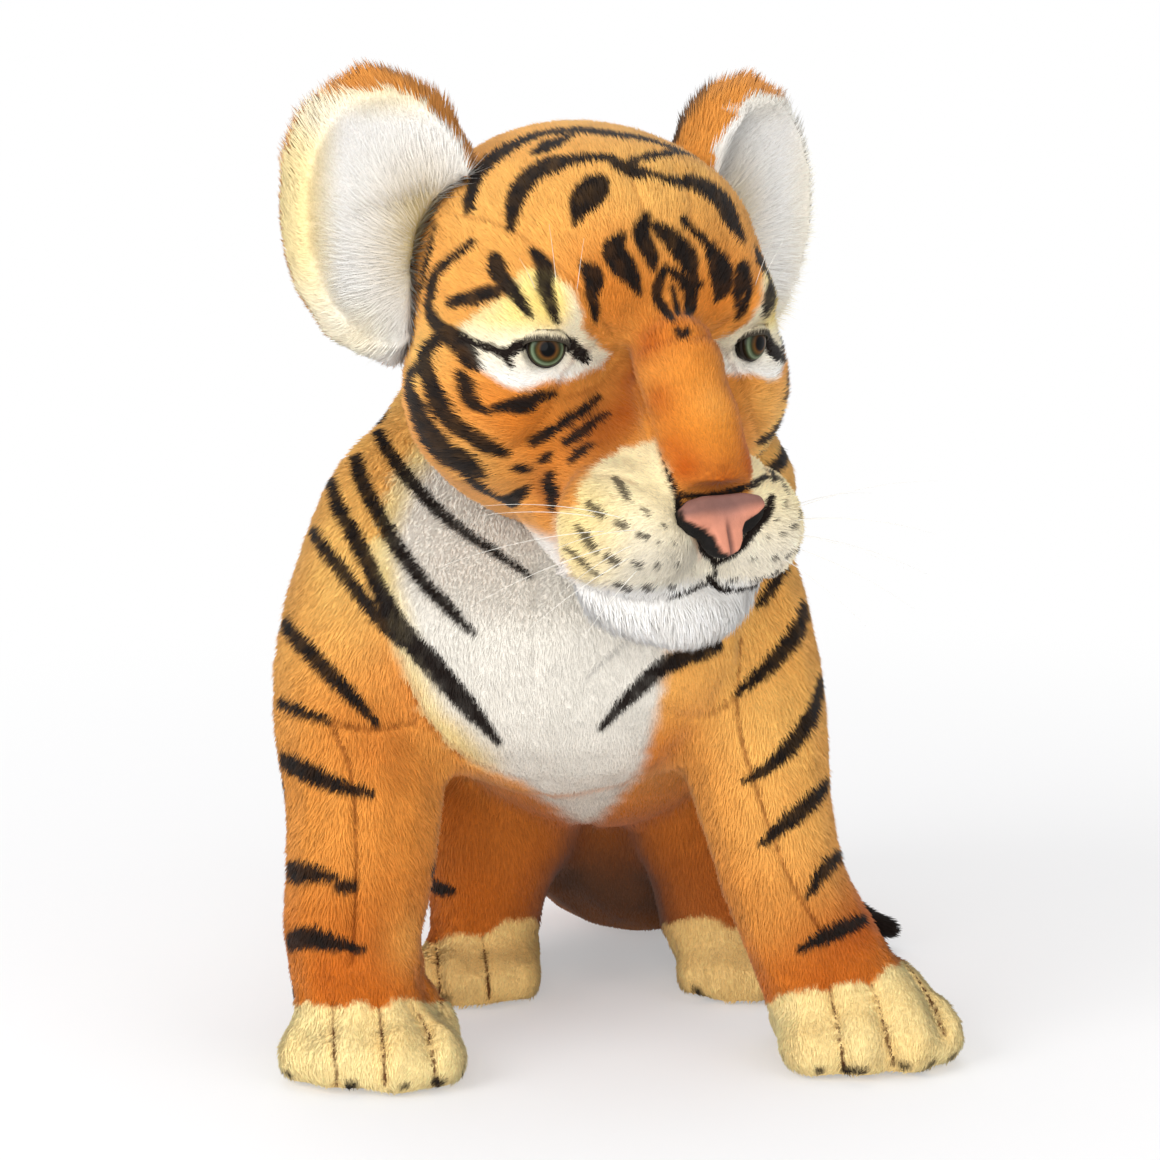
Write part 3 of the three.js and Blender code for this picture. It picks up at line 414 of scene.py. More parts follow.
# The fold that runs into the ear from the head
EAR_FOLD_PX = [(428, 196, 12), (412, 204, 11), (392, 209, 8), (364, 214, 4)]
FRONT_TOES_PX = {
    "front_paw_right": [
        (255, 1040), (272, 1022), (288, 1008), (308, 1002), (333, 1009), (358, 1001), (380, 1008),
        (404, 999), (424, 1003), (450, 1000), (480, 1010), (500, 1060), (490, 1130), (250, 1130),
    ],
    "front_paw_left": [
        (757, 1030), (768, 1002), (790, 990), (828, 991), (850, 982), (872, 986), (884, 968), (905, 962),
        (940, 958), (985, 985), (985, 1060), (850, 1110), (757, 1090),
    ],
    "hind_paw_right": [
        (400, 950), (418, 938), (436, 945), (458, 933), (482, 938), (505, 922), (535, 920), (555, 950),
        (555, 1030), (440, 1035), (400, 1000),
    ],
    "hind_paw_left": [(665, 925), (700, 916), (742, 930), (770, 980), (770, 1020), (690, 1020), (665, 975)],
}

# Stripes that the photograph doesn't show: angle round an axis from its front towards the tiger's left in
# degrees, height in mm and width in mm. Those of the back and the head are mirrored to the other side.
BACK_STRIPES = [
    [(176, 226, 4), (145, 230, 5), (112, 232, 4), (92, 228, 3)],
    [(177, 212, 5), (150, 216, 6), (118, 219, 5), (88, 214, 4)],
    [(178, 186, 6), (152, 192, 6), (122, 200, 6), (90, 200, 4)],
    [(172, 164, 3), (148, 168, 5), (122, 170, 6), (92, 164, 4)],
    [(178, 146, 7), (156, 146, 6), (130, 142, 6), (98, 134, 4)],
    [(170, 122, 3), (148, 122, 5), (122, 116, 5), (104, 106, 2)],
    [(178, 102, 7), (158, 102, 6), (136, 94, 5), (116, 84, 3)],
    [(172, 80, 4), (154, 78, 5), (134, 70, 4), (118, 58, 2)],
    [(176, 58, 6), (158, 54, 5), (140, 46, 4)],
    [(60, 92, 3), (76, 96, 6), (92, 88, 5), (104, 76, 2)],
    [(58, 68, 3), (74, 70, 6), (90, 62, 5), (102, 50, 2)],
    [(62, 44, 3), (78, 44, 5), (94, 36, 3)],
]
LEG_BACK_STRIPES = {
    "right": [
        [(-62, 100, 5), (-90, 102, 5), (-125, 100, 4), (-150, 96, 2)],
        [(-62, 57, 5), (-92, 58, 5), (-128, 55, 3)],
        [(-62, 29, 5), (-92, 31, 5), (-130, 30, 2)],
        [(92, 78, 2), (112, 80, 4), (138, 78, 2)],
        [(150, 70, 2), (178, 72, 5), (-155, 72, 3)],
    ],
    "left": [
        [(96, 96, 5), (120, 100, 5), (150, 98, 3)],
        [(100, 66, 4), (125, 68, 4), (152, 65, 2)],
        [(100, 40, 4), (125, 42, 4), (150, 40, 2)],
        [(-80, 70, 2), (-110, 74, 4), (-140, 72, 2)],
    ],
}
HEAD_BACK_STRIPES = [
    [(178, 52, 6), (150, 48, 6), (128, 42, 3)],
    [(174, 30, 3), (150, 26, 6), (126, 16, 3)],
    [(178, 6, 6), (154, 2, 6), (128, -10, 3)],
    [(174, -18, 4), (150, -22, 6), (124, -34, 5), (104, -44, 3)],
    [(178, -40, 5), (154, -44, 5), (130, -54, 4)],
]

# Airbrushed areas, among them some painted shade and a painted highlight: place and reach in mm, colour and
# strength. The head's are in its frame, on both sides.
HEAD_AIRBRUSH_AND_SHADING = [
    ((0, -60, 40), 46, GOLD, 0.75),
    ((0, 20, 66), 60, GOLD, 0.6),
    ((24, -66, 8), 24, DEEP_ORANGE, 0.8),
    ((0, -72, 0), 22, DEEP_ORANGE, 0.85),
    ((50, -44, -42), 26, DEEP_ORANGE, 0.85),
    ((26, -54, -45), 15, CHEEK, 0.75),
    ((15, -55, -38), 11, CHEEK, 0.95),
    ((13, -52, -25), 9, CHEEK, 0.9),
    ((36, -40, -66), 10, CHEEK, 0.7),
    ((64, -28, -58), 16, GOLD, 0.6),
    # Down the bridge: the gold in its middle is partly a painted highlight, and the rust along its sides and
    # at its lower end is partly painted shade of the creases beside it and under the pile over the nose
    ((0, -88, -34), 20, BRIDGE, 0.95),
    ((0, -90, -30), 11, GOLD, 0.35),
    ((17, -80, -32), 7, RUST, 0.55),
    ((13, -66, -12), 8, RUST, 0.7),
    ((14, -74, -30), 6, RUST, 0.6),
    ((0, -96, -59), 12, RUST, 0.8),
    ((62, -18, 42), 18, GOLD, 0.7),
    # More rust down the bridge's sides, partly painted shade of the creases
    ((13, -84, -46), 7, RUST, 0.6),
    ((13, -91, -52), 7, RUST, 0.8),
    ((78, -6, -18), 16, STRAW, 0.55),
]
# Pale areas on the left cheek alone
LEFT_AIRBRUSH = [
    ((62, -36, -42), 17, GOLD, 0.85),
    ((66, -34, -58), 12, STRAW, 0.7),
    ((48, -48, -36), 9, GOLD, 0.5),
]
BODY_AIRBRUSH_AND_SHADE = [
    ((-60, -196, 120), 34, DEEP_ORANGE, 0.5),
    ((-34, -190, 150), 22, RUST, 0.55),
    # Painted shade: the front of the right front leg, a little darker
    ((-52, -202, 122), 20, RUST, 0.3),
    ((-70, -170, 180), 26, GOLD, 0.8),
    ((-57, -206, 42), 27, RUST, 0.95),
    ((-38, -204, 50), 14, ORANGE, 0.8),
    ((108, -150, 46), 30, RUST, 0.9),
    ((88, -158, 56), 14, ORANGE, 0.7),
    ((46, -172, 116), 16, RUST, 0.4),
    ((50, -170, 110), 24, DEEP_ORANGE, 0.7),
    ((88, -150, 120), 30, GOLD, 0.6),
    ((60, -160, 178), 26, GOLD, 0.6),
    # Painted shade: the front of the seat, seen between the hind legs, darkened brown where shadow falls
    ((-22, -50, 22), 40, SEAT_PAINTED_SHADE, 0.9),
    ((26, -50, 22), 40, SEAT_PAINTED_SHADE, 0.9),
    ((102, -160, 84), 24, GOLD, 0.5),
]

# Noise in the forms, edges and colours: cell size in mm, seed and strength
BODY_LUMPS = [(26, 2, 0.9 * MM)]
ZONE_WANDER = [(4, 11, 1.2 * MM)]
EAR_ROOT_WANDER = [(5, 41, 3 * MM)]
BAND_WANDER = [(6, 51, 0.012)]
NOSE_EDGE_WANDER = [(1.6, 61, 0.35 * MM)]
BODY_PATCHES = [(34, 21, 0.5), (13, 22, 0.35)]
BODY_MOTTLE = [(9, 25, 0.07), (3.5, 26, 0.06)]
HEAD_PATCHES = [(22, 31, 0.5), (9, 32, 0.3)]
HEAD_MOTTLE = [(7, 33, 0.09), (3, 34, 0.08)]
STRIPE_FULLNESS = 0.985
BODY_STRIPE_GRAIN = [(4, 27, 0.05)]
HEAD_STRIPE_GRAIN = [(3, 35, 0.05)]
TOE_BLACK_GRAIN = [(5, 24, 0.6)]

# Dents along strokes: their kind, their softness in mm and their depth in mm
BODY_DENTS = [("seams", 3.5, 2.2), ("toe_seams", 3, 2.4), ("toe_seams", 8, 2.0)]
HEAD_DENTS = [("fold", 3.4, 3.2), ("seams", 3.6, 2.0)]

# Moves that shape the head on both sides, in its frame and in mm: place, reach and push
HEAD_MOVES = [
    ((43, -52, -15), 11, (-0.5, 0.6, 0)),
    ((40, -54, 1), 11, (0, -3.0, -0.6)),
    ((48, -52, -31), 12, (0, -1.6, 0.6)),
    ((21, -74, -36), 7, (0, 2.8, 0)),
    ((36, -70, -58), 8, (0, 2.2, 0)),
    ((26, -90, -74), 13, (1.2, -1.8, 0)),
    ((38, -70, -94), 8, (0, 2.6, 1.5)),
    ((0, -72, -4), 12, (0, 1.4, 0)),
    ((32, -66, -98), 13, (13, 3, 4)),
    ((15, -56, -34), 7, (0, 2.6, 0)),
]

# Moves that shape the body, in mm: place, reach and push
BODY_MOVES = [
    ((122, -132, 42), 24, (7, 0, 3)),
    ((124, -150, 26), 18, (4, 0, 3)),
    ((-20, -192, 28), 14, (-8, 0, -5)),
]


class PhotoView:
    """The photograph's view: pixels to rays, and places to pixels."""

    def __init__(self):
        level = math.cos(CAMERA_RISE)
        back = Vector((math.sin(CAMERA_TURN) * level, -math.cos(CAMERA_TURN) * level, math.sin(CAMERA_RISE)))
        self.eye = CAMERA_TARGET + back * CAMERA_DISTANCE
        self.forward = -back
        self.right = Vector((math.cos(CAMERA_TURN), math.sin(CAMERA_TURN), 0))
        self.up = self.right.cross(self.forward)

    def ray(self, x, y):
        """The way from the camera through a pixel."""
        across = self.right * ((x - PHOTO_SIDE / 2) / PHOTO_FOCAL)
        upward = self.up * ((y - PHOTO_SIDE / 2) / PHOTO_FOCAL)
        return (self.forward + across - upward).normalized()

    def pixels(self, points):
        """Where each place shows in the photograph."""
        ahead = points - np.array(self.eye)
        depth = ahead @ np.array(self.forward)
        x = PHOTO_SIDE / 2 + PHOTO_FOCAL * (ahead @ np.array(self.right)) / depth
        y = PHOTO_SIDE / 2 - PHOTO_FOCAL * (ahead @ np.array(self.up)) / depth
        return np.stack([x, y], 1)

    def facing(self, points, normals):
        """How squarely each place faces the camera, from -1 to 1."""
        ahead = np.array(self.eye) - points
        return (normals * ahead).sum(1) / np.linalg.norm(ahead, axis=1)

    def matrix(self):
        """The camera's own place and turn."""
        turn = Matrix((self.right, self.up, -self.forward)).transposed()
        return Matrix.Translation(self.eye) @ turn.to_4x4()


VIEW = PhotoView()


# Numbers for many points at once


def smooth_step(low, high, value):
    """A smooth change from 0 at low to 1 at high, where low may also be the larger one."""
    share = np.clip((value - low) / (high - low), 0, 1)
    return share * share * (3 - 2 * share)


def mm_step(low, high, value):
    """The smooth change between two lengths in mm."""
    return smooth_step(low * MM, high * MM, value)


def unit(vectors):
    return vectors / np.maximum(np.linalg.norm(vectors, axis=1, keepdims=True), TINY)


def along_surface(ways, normals):
    """The part of each way that runs along the surface."""
    return unit(ways - (ways * normals).sum(1, keepdims=True) * normals)


def moved_by(matrix, points):
    return points @ np.array(matrix.to_3x3()).T + np.array(matrix.translation)


def turned_by(matrix, ways):
    return ways @ np.array(matrix.to_3x3()).T


def in_head(points):
    """Places in the head's own frame."""
    return moved_by(HEAD.inverted(), points)


def above_floor(places):
    """Lifts what lies too low to just above the floor."""
    places[..., 2] = np.maximum(places[..., 2], FLOOR_CLEARANCE)


HASH_STEPS = (73856093, 19349663, 83492791, 2654435761)
HASH_MIX = 1274126177
HASH_BITS = 0xFFFF


def cell_noise(points, cell, seed):
    """Smooth random values from -1 to 1 that change over about one cell."""
    at = points / cell
    low = np.floor(at).astype(np.int64)
    part = at - low
    part = part * part * (3 - 2 * part)
    total = np.zeros(len(points))
    for corner in np.ndindex(2, 2, 2):
        key = low + corner
        bits = key[:, 0] * HASH_STEPS[0] ^ key[:, 1] * HASH_STEPS[1] ^ key[:, 2] * HASH_STEPS[2]
        bits = bits ^ (seed * HASH_STEPS[3])
        bits = (bits ^ (bits >> 13)) * HASH_MIX
        value = ((bits ^ (bits >> 16)) & HASH_BITS) / HASH_BITS * 2 - 1
        total += np.prod(np.where(corner, part, 1 - part), axis=1) * value
    return total


def noise_sum(points, layers):
    """The sum of layers of noise, each with a cell size in mm, a seed and a strength."""
    return sum(cell_noise(points, cell * MM, seed) * strength for cell, seed, strength in layers)


def smooth_line(marks, steps):
    """More points on the smooth curve through the marks."""
    marks = np.array(marks, float)
    ends = np.vstack([2 * marks[0] - marks[1], marks, 2 * marks[-1] - marks[-2]])
    line = []
    for i in range(1, len(ends) - 2):
        a, b, c, d = ends[i - 1 : i + 3]
        for step in range(steps):
            t = step / steps
            bend = (2 * a - 5 * b + 4 * c - d) * t**2 + (3 * b - a - 3 * c + d) * t**3
            line.append((2 * b + (c - a) * t + bend) / 2)
    line.append(marks[-1])
    return np.array(line)


class Stroke:
    """A painted line that lies on a surface, with its half width at each place."""

    def __init__(self, places, halves):
        self.places = np.array(places, float).reshape(-1, 3)
        self.halves = np.array(halves, float)

    def past_edge(self, points, reach):
        """How far each point lies outside the stroke, or less than 0 inside it."""
        result = np.full(len(points), FAR)
        if len(self.places) < 2:
            return result
        margin = self.halves.max() + reach
        low = self.places.min(0) - margin
        high = self.places.max(0) + margin
        near = np.flatnonzero(((points > low) & (points < high)).all(1))
        some = points[near]
        best = np.full(len(near), FAR)
        for i in range(len(self.places) - 1):
            step = self.places[i + 1] - self.places[i]
            along = np.clip((some - self.places[i]) @ step / max(step @ step, TINY), 0, 1)
            gap = np.linalg.norm(some - self.places[i] - along[:, None] * step, axis=1)
            half = self.halves[i] + (self.halves[i + 1] - self.halves[i]) * along
            best = np.minimum(best, gap - half)
        result[near] = best
        return result


def photo_stroke(tree, marks, head_mirror=False, grow=0.0, least_seen=LEAST_SEEN):
    """The stroke on the surface under a line in the photograph, wider where the surface slants away."""
    found = []
    for x, y, width in smooth_line(marks, STROKE_STEPS):
        ray = VIEW.ray(x, y)
        hit, normal, _, _ = tree.ray_cast(VIEW.eye, ray)
        if hit is not None:
            found.append((hit, normal, ray, width))
    places, halves = [], []
    for i, (hit, normal, ray, width) in enumerate(found):
        along = found[min(i + 1, len(found) - 1)][0] - found[max(i - 1, 0)][0]
        across = normal.cross(along).normalized()
        seen = max((across - ray * across.dot(ray)).length, least_seen)
        halves.append(width / 2 * (hit - VIEW.eye).length / PHOTO_FOCAL / seen + grow)
        places.append(mirrored_in_head(hit) if head_mirror else hit)
    return Stroke(places, halves)


def photo_strokes(tree, lines, mirrors=(False,), **options):
    """The strokes under some lines, on each side of the head that mirrors gives."""
    return [photo_stroke(tree, marks, mirror, **options) for marks in lines for mirror in mirrors]


def mirrored_in_head(place):
    """The same place on the head's other side."""
    local = HEAD.inverted() @ place
    return HEAD @ Vector((-local.x, local.y, local.z))


def round_stroke(tree, marks, middle, outside, side=1, matrix=Matrix.Identity(4)):
    """The stroke under marks round an axis, whose place at a height middle gives."""
    places, halves = [], []
    for angle, height, width in smooth_line(marks, STROKE_STEPS):
        turn = math.radians(angle * side)
        outward = Vector((math.sin(turn), -math.cos(turn), 0))
        axis = Vector((*middle(height * MM), height * MM))
        start = matrix @ (axis + outward * outside)
        hit = tree.ray_cast(start, matrix.to_3x3() @ -outward)[0]
        if hit is not None:
            places.append(hit)
            halves.append(width * MM / 2 + STROKE_GROW)
    return Stroke(places, halves)


def stroke_share(strokes, points, softness=STROKE_SOFTNESS, ragged=STROKE_RAGGED):
    """How much of each point the strokes cover, from 0 to 1."""
    wander = cell_noise(points, STROKE_CELL, STROKE_SEED) * ragged
    share = np.zeros(len(points))
    for stroke in strokes:
        past = stroke.past_edge(points, softness + ragged) + wander
        share = np.maximum(share, 1 - smooth_step(-softness, softness, past))
    return share


def polygon_gap(pixels, corners):
    """Distance in pixels to a polygon's edge, less than 0 inside it."""
    corners = np.array(corners, float)
    best = np.full(len(pixels), np.inf)
    inside = np.zeros(len(pixels), bool)
    for a, b in zip(corners, np.roll(corners, -1, axis=0)):
        step = b - a
        along = np.clip((pixels - a) @ step / (step @ step), 0, 1)
        best = np.minimum(best, np.linalg.norm(pixels - a - along[:, None] * step, axis=1))
        crosses = (a[1] > pixels[:, 1]) != (b[1] > pixels[:, 1])
        rise = step[1] if step[1] else TINY
        at = a[0] + (pixels[:, 1] - a[1]) / rise * step[0]
        inside ^= crosses & (pixels[:, 0] < at)
    return np.where(inside, -best, best)


def photo_zone(points, corners, softness=ZONE_SOFTNESS):
    """How much of each point lies under an area of the photograph, from 0 to 1."""
    gap = polygon_gap(VIEW.pixels(points), corners) * CAMERA_DISTANCE / PHOTO_FOCAL
    gap += noise_sum(points, ZONE_WANDER)
    return 1 - smooth_step(-softness, softness, gap)


def blob(points, place, reach):
    """A soft spot that fades out from a place, given with its reach in mm."""
    return np.exp(-(((points - np.array(place) * MM) / (np.array(reach) * MM)) ** 2).sum(1))


def plain_colour(colour, points):
    """One colour, once for each point."""
    return np.tile(colour, (len(points), 1))


def mixed(colours, colour, share):
    """The colours, each brought towards another colour by its share."""
    return colours + (colour - colours) * share[:, None]


# Meshes


def linked_object(name, data):
    made = bpy.data.objects.new(name, data)
    bpy.context.collection.objects.link(made)
    return made


def mesh_from(bm, name):
    """A new mesh of a bmesh, which is then freed."""
    mesh = bpy.data.meshes.new(name)
    bm.to_mesh(mesh)
    bm.free()
    return mesh


def mesh_object(name, mesh, material, body):
    """A piece of the tiger, with its material and the body that it rides on."""
    piece = linked_object(name, mesh)
    mesh.materials.append(material)
    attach(piece, body)
    return piece


def node_copy(names, lap=0.0):
    """The named solids in one bmesh, each grown by lap so that neighbours meet."""
    joined = bmesh.new()
    for name in names:
        part = bmesh.new()
        part.from_mesh(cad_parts[name].data)
        bmesh.ops.remove_doubles(part, verts=part.verts, dist=WELD)
        part.normal_update()
        for vert in part.verts:
            vert.co += vert.normal * lap
        mesh = mesh_from(part, name)
        joined.from_mesh(mesh)
        bpy.data.meshes.remove(mesh)
    return joined


def largest_shell(bm):
    """Deletes every shell but the one with most vertices."""
    left = set(bm.verts)
    shells = []
    while left:
        shell = {left.pop()}
        edge = set(shell)
        while edge:
            edge = {e.other_vert(v) for v in edge for e in v.link_edges} - shell
            shell |= edge
        left -= shell
        shells.append(shell)
    keep = max(shells, key=len)
    bmesh.ops.delete(bm, geom=[v for v in bm.verts if v not in keep], context="VERTS")


def remeshed(bm, name, voxel, smoothing):
    """The bmesh's outer form as one even, smooth and closed mesh."""
    source = mesh_from(bm, name)
    piece = linked_object(name, source)
    remesh = piece.modifiers.new("Remesh", "REMESH")
    remesh.mode = "VOXEL"
    remesh.voxel_size = voxel
    remesh.use_smooth_shade = True
    smooth = piece.modifiers.new("Smooth", "SMOOTH")
    smooth.factor = SMOOTH_FACTOR
    smooth.iterations = smoothing
    mesh = evaluated_mesh(piece)
    bpy.data.meshes.remove(source)
    clean = bmesh.new()
    clean.from_mesh(mesh)
    largest_shell(clean)
    bmesh.ops.recalc_face_normals(clean, faces=clean.faces)
    clean.to_mesh(mesh)
    clean.free()
    mesh.shade_smooth()
    return mesh


def evaluated_mesh(piece):
    """An object's mesh with its modifiers or bevel. The object is removed."""
    graph = bpy.context.evaluated_depsgraph_get()
    mesh = bpy.data.meshes.new_from_object(piece.evaluated_get(graph))
    bpy.data.objects.remove(piece)
    return mesh


def read_vectors(items, field):
    values = np.empty(len(items) * 3, np.float32)
    items.foreach_get(field, values)
    return values.reshape(-1, 3).astype(float)


def places_of(mesh):
    return read_vectors(mesh.vertices, "co")


def normals_of(mesh):
    return read_vectors(mesh.vertex_normals, "vector")


def set_places(mesh, places):
    mesh.vertices.foreach_set("co", places.astype(np.float32).ravel())
    mesh.update()


def paint(mesh, colours):
    """Writes one colour a vertex to the mesh's pile colour."""
    layer = mesh.color_attributes.get("Pile") or mesh.color_attributes.new("Pile", "FLOAT_COLOR", "POINT")
    values = np.ones((len(colours), 4), np.float32)
    values[:, :3] = colours
    layer.data.foreach_set("color", values.ravel())


def soften(mesh, chosen, passes):
    """Smooths the chosen places of a skin."""
    bm = bmesh.new()
    bm.from_mesh(mesh)
    bm.verts.ensure_lookup_table()
    verts = [bm.verts[i] for i in np.flatnonzero(chosen)]
    for _ in range(passes):
        bmesh.ops.smooth_vert(
            bm, verts=verts, factor=SMOOTH_FACTOR, use_axis_x=True, use_axis_y=True, use_axis_z=True
        )
    bm.to_mesh(mesh)
    bm.free()


def triangles_of(mesh):
    mesh.calc_loop_triangles()
    triangles = np.empty(len(mesh.loop_triangles) * 3, np.int32)
    mesh.loop_triangles.foreach_get("vertices", triangles)
    return triangles.reshape(-1, 3)


def tree_of(mesh):
    """The mesh's surface, for rays from the camera and from round an axis."""
    return BVHTree.FromPolygons(places_of(mesh).tolist(), triangles_of(mesh).tolist())


def nearest_nodes(points, names):
    """For each point, the index of the named solid that it lies nearest to."""
    owners, spots = [], []
    for index, name in enumerate(names):
        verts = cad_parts[name].data.vertices
        spots += [vert.co.copy() for vert in verts]
        owners += [index] * len(verts)
    tree = KDTree(len(spots))
    for i, spot in enumerate(spots):
        tree.insert(spot, i)
    tree.balance()
    return np.array([owners[tree.find(point)[1]] for point in points.tolist()])


def part_of(owners, names):
    """Which places of the body came from the named solids."""
    return np.isin(owners, [BODY_NODES.index(name) for name in names])


# Shader nodes


class Socket:
    """A node's output, with the sums that shader maths needs."""

    def __init__(self, shader, output):
        self.shader = shader
        self.output = output

    def _math(self, operation, *values):
        return self.shader.node("ShaderNodeMath", {"operation": operation}, dict(enumerate(values)))

    def __add__(self, other):
        return self._math("ADD", self, other)

    def __mul__(self, other):
        return self._math("MULTIPLY", self, other)

    __radd__ = __add__
    __rmul__ = __mul__


# A Mix node's sockets for colours
MIX_SHARE, MIX_FIRST, MIX_SECOND, MIX_RESULT = 0, 6, 7, 2
PLAIN_WHITE = (1, 1, 1, 1)


class Shader:
    """The node tree of a material or of the world, built from plain calls."""

    def __init__(self, owner):
        owner.use_nodes = True
        self.owner = owner
        self.tree = owner.node_tree
        self.tree.nodes.clear()

    def node(self, kind, settings=None, inputs=None, output=0):
        made = self.tree.nodes.new(kind)
        for name, value in (settings or {}).items():
            setattr(made, name, value)
        for name, value in (inputs or {}).items():
            if isinstance(value, Socket):
                self.tree.links.new(value.output, made.inputs[name])
            else:
                made.inputs[name].default_value = value
        return Socket(self, made.outputs[output])

    def places(self):
        return self.node("ShaderNodeTexCoord", output="Object")

    def noise(self, scale, detail, roughness):
        inputs = {"Vector": self.places(), "Scale": scale, "Detail": detail, "Roughness": roughness}
        return self.node("ShaderNodeTexNoise", None, inputs)

    def blended(self, share, first, second, blend="MIX"):
        inputs = {MIX_SHARE: share, MIX_FIRST: first, MIX_SECOND: second}
        return self.node("ShaderNodeMix", {"data_type": "RGBA", "blend_type": blend}, inputs, MIX_RESULT)

    def painted(self, grain):
        """The piece's painted colour, lighter and darker with the grain."""
        colour = self.node("ShaderNodeAttribute", {"attribute_name": "Pile"}, output="Color")
        return self.blended(1.0, colour, grain, "MULTIPLY")

    def bumped(self, height, distance, strength=1):
        inputs = {"Height": height, "Distance": distance, "Strength": strength}
        return self.node("ShaderNodeBump", None, inputs)

    def shaders_mixed(self, share, first, second):
        return self.node("ShaderNodeMixShader", None, {0: share, 1: first, 2: second})

    def seen_directly(self):
        """1 for what the camera sees, also by gloss and glass, and 0 for other light."""
        path = self.node("ShaderNodeLightPath").output.node
        camera, glossy, glass = (
            Socket(self, path.outputs[name])
            for name in ("Is Camera Ray", "Is Glossy Ray", "Is Transmission Ray")
        )
        settings = {"operation": "ADD", "use_clamp": True}
        return self.node("ShaderNodeMath", settings, {0: camera + glossy, 1: glass})

    def ended(self, shader, kind="ShaderNodeOutputMaterial"):
        """Joins the shader to the tree's output and gives back the material or world."""
        end = self.tree.nodes.new(kind)
        self.tree.links.new(shader.output, end.inputs["Surface"])
        return self.owner

    def surface(self, **inputs):
        named = {name.replace("_", " "): value for name, value in inputs.items()}
        return self.ended(self.node("ShaderNodeBsdfPrincipled", None, named, "BSDF"))


def material_shader(name):
    return Shader(bpy.data.materials.new(name))


def solid_colour(colour):
    return (*colour, 1)


def pile_material(name):
    """Dyed pile: the painted colour, with finer light and dark fibres in it."""
    shader = material_shader(name)
    colour = shader.painted(shader.noise(900, 3, 0.6) * 0.3 + 0.86)
    return shader.surface(
        Base_Color=colour, Roughness=0.82, Specular_IOR_Level=0.12, Sheen_Weight=0.1, Sheen_Roughness=0.5
    )


def backing_material(name):
    """The knitted cloth that the pile stands in."""
    shader = material_shader(name)
    knit = shader.noise(1400, 4, 0.7)
    bump = shader.bumped(knit, 0.4 * MM, 0.6)
    colour = shader.painted(knit * 0.5 + 0.7)
    return shader.surface(Base_Color=colour, Roughness=0.95, Specular_IOR_Level=0.1, Normal=bump)


def eye_material():
    """Printed plastic under a clear glossy coat."""
    shader = material_shader("eye_plastic")
    colour = shader.painted(shader.noise(1800, 3, 0.6) * 0.5 + 0.75)
    return shader.surface(
        Base_Color=colour, Roughness=0.3, Specular_IOR_Level=0.04, Coat_Weight=0.12, Coat_Roughness=0.02
    )


def nose_material():
    """Flocked pink with a soft mottle."""
    shader = material_shader("nose_pink")
    colour = shader.painted(shader.noise(260, 3, 0.5) * 0.4 + 0.78)
    bump = shader.bumped(shader.noise(1500, 4, 0.7), 0.35 * MM, 0.8)
    return shader.surface(Base_Color=colour, Roughness=0.7, Specular_IOR_Level=0.2, Normal=bump)


def cast_material(name, colour, roughness, metallic, grain_scale, grain_depth):
    """Moulded plastic, wire or washer steel: plain, with a fine grain."""
    shader = material_shader(name)
    grain = shader.noise(grain_scale, 4, 0.6)
    shade = shader.blended(grain * 0.3, solid_colour(colour), solid_colour(colour * 0.7))
    bump = shader.bumped(grain, grain_depth, 0.5)
    return shader.surface(
        Base_Color=shade, Roughness=grain * 0.15 + roughness, Metallic=metallic, Normal=bump
    )


def cotton_material():
    """The pellet bag's plain weave."""
    shader = material_shader("bag_cotton")
    weave_inputs = {"Vector": shader.places(), "Scale": 700}
    weave = shader.node("ShaderNodeTexWave", {"wave_type": "BANDS"}, weave_inputs)
    colour = shader.blended(weave * 0.3, solid_colour(tint(220, 211, 192)), solid_colour(tint(170, 160, 140)))
    return shader.surface(Base_Color=colour, Roughness=0.9, Normal=shader.bumped(weave, 0.2 * MM))


# Strands of pile


class Pile:
    """What the strands of one skin are like: arrays with one row a strand."""

    def __init__(self, roots, normals, owners):
        self.roots = roots
        self.normals = normals
        self.owners = owners
        self.ways = normals.copy()
        self.lengths = np.zeros(len(roots))
        self.widths = np.zeros(len(roots))
        self.colours = np.zeros((len(roots), 3))
        self.keep = np.ones(len(roots), bool)

    def size(self, settings, random, lengths=LENGTH_SPREAD, widths=WIDTH_SPREAD):
        """Gives each strand a random length and width."""
        self.lengths = settings.pile_length * random.uniform(*lengths, len(self.roots))
        self.widths = settings.pile_width * random.uniform(*widths, len(self.roots))

    def only(self, chosen):
        """A pile of the chosen strands alone."""
        part = Pile(self.roots[chosen], self.normals[chosen], self.owners[chosen])
        for name in ("ways", "lengths", "widths", "colours"):
            setattr(part, name, getattr(self, name)[chosen])
        return part

    def lies_under(self, height):
        """Which strands stand below a height and point at the floor."""
        return (self.roots[:, 2] < height) & (self.normals[:, 2] < UNDER_FACING)

    def on_neck_flat(self, way):
        """Which strands stand on the bare middle of the neck's flat, which faces along way times its axis."""
        level = np.abs(neck_height(self.roots)) < BARE_NECK_HEIGHT
        flat = self.normals @ np.array(NECK_AXIS) * way > BARE_NECK_FACING
        return level & flat & (from_neck(self.roots) < BARE_NECK_RADIUS)


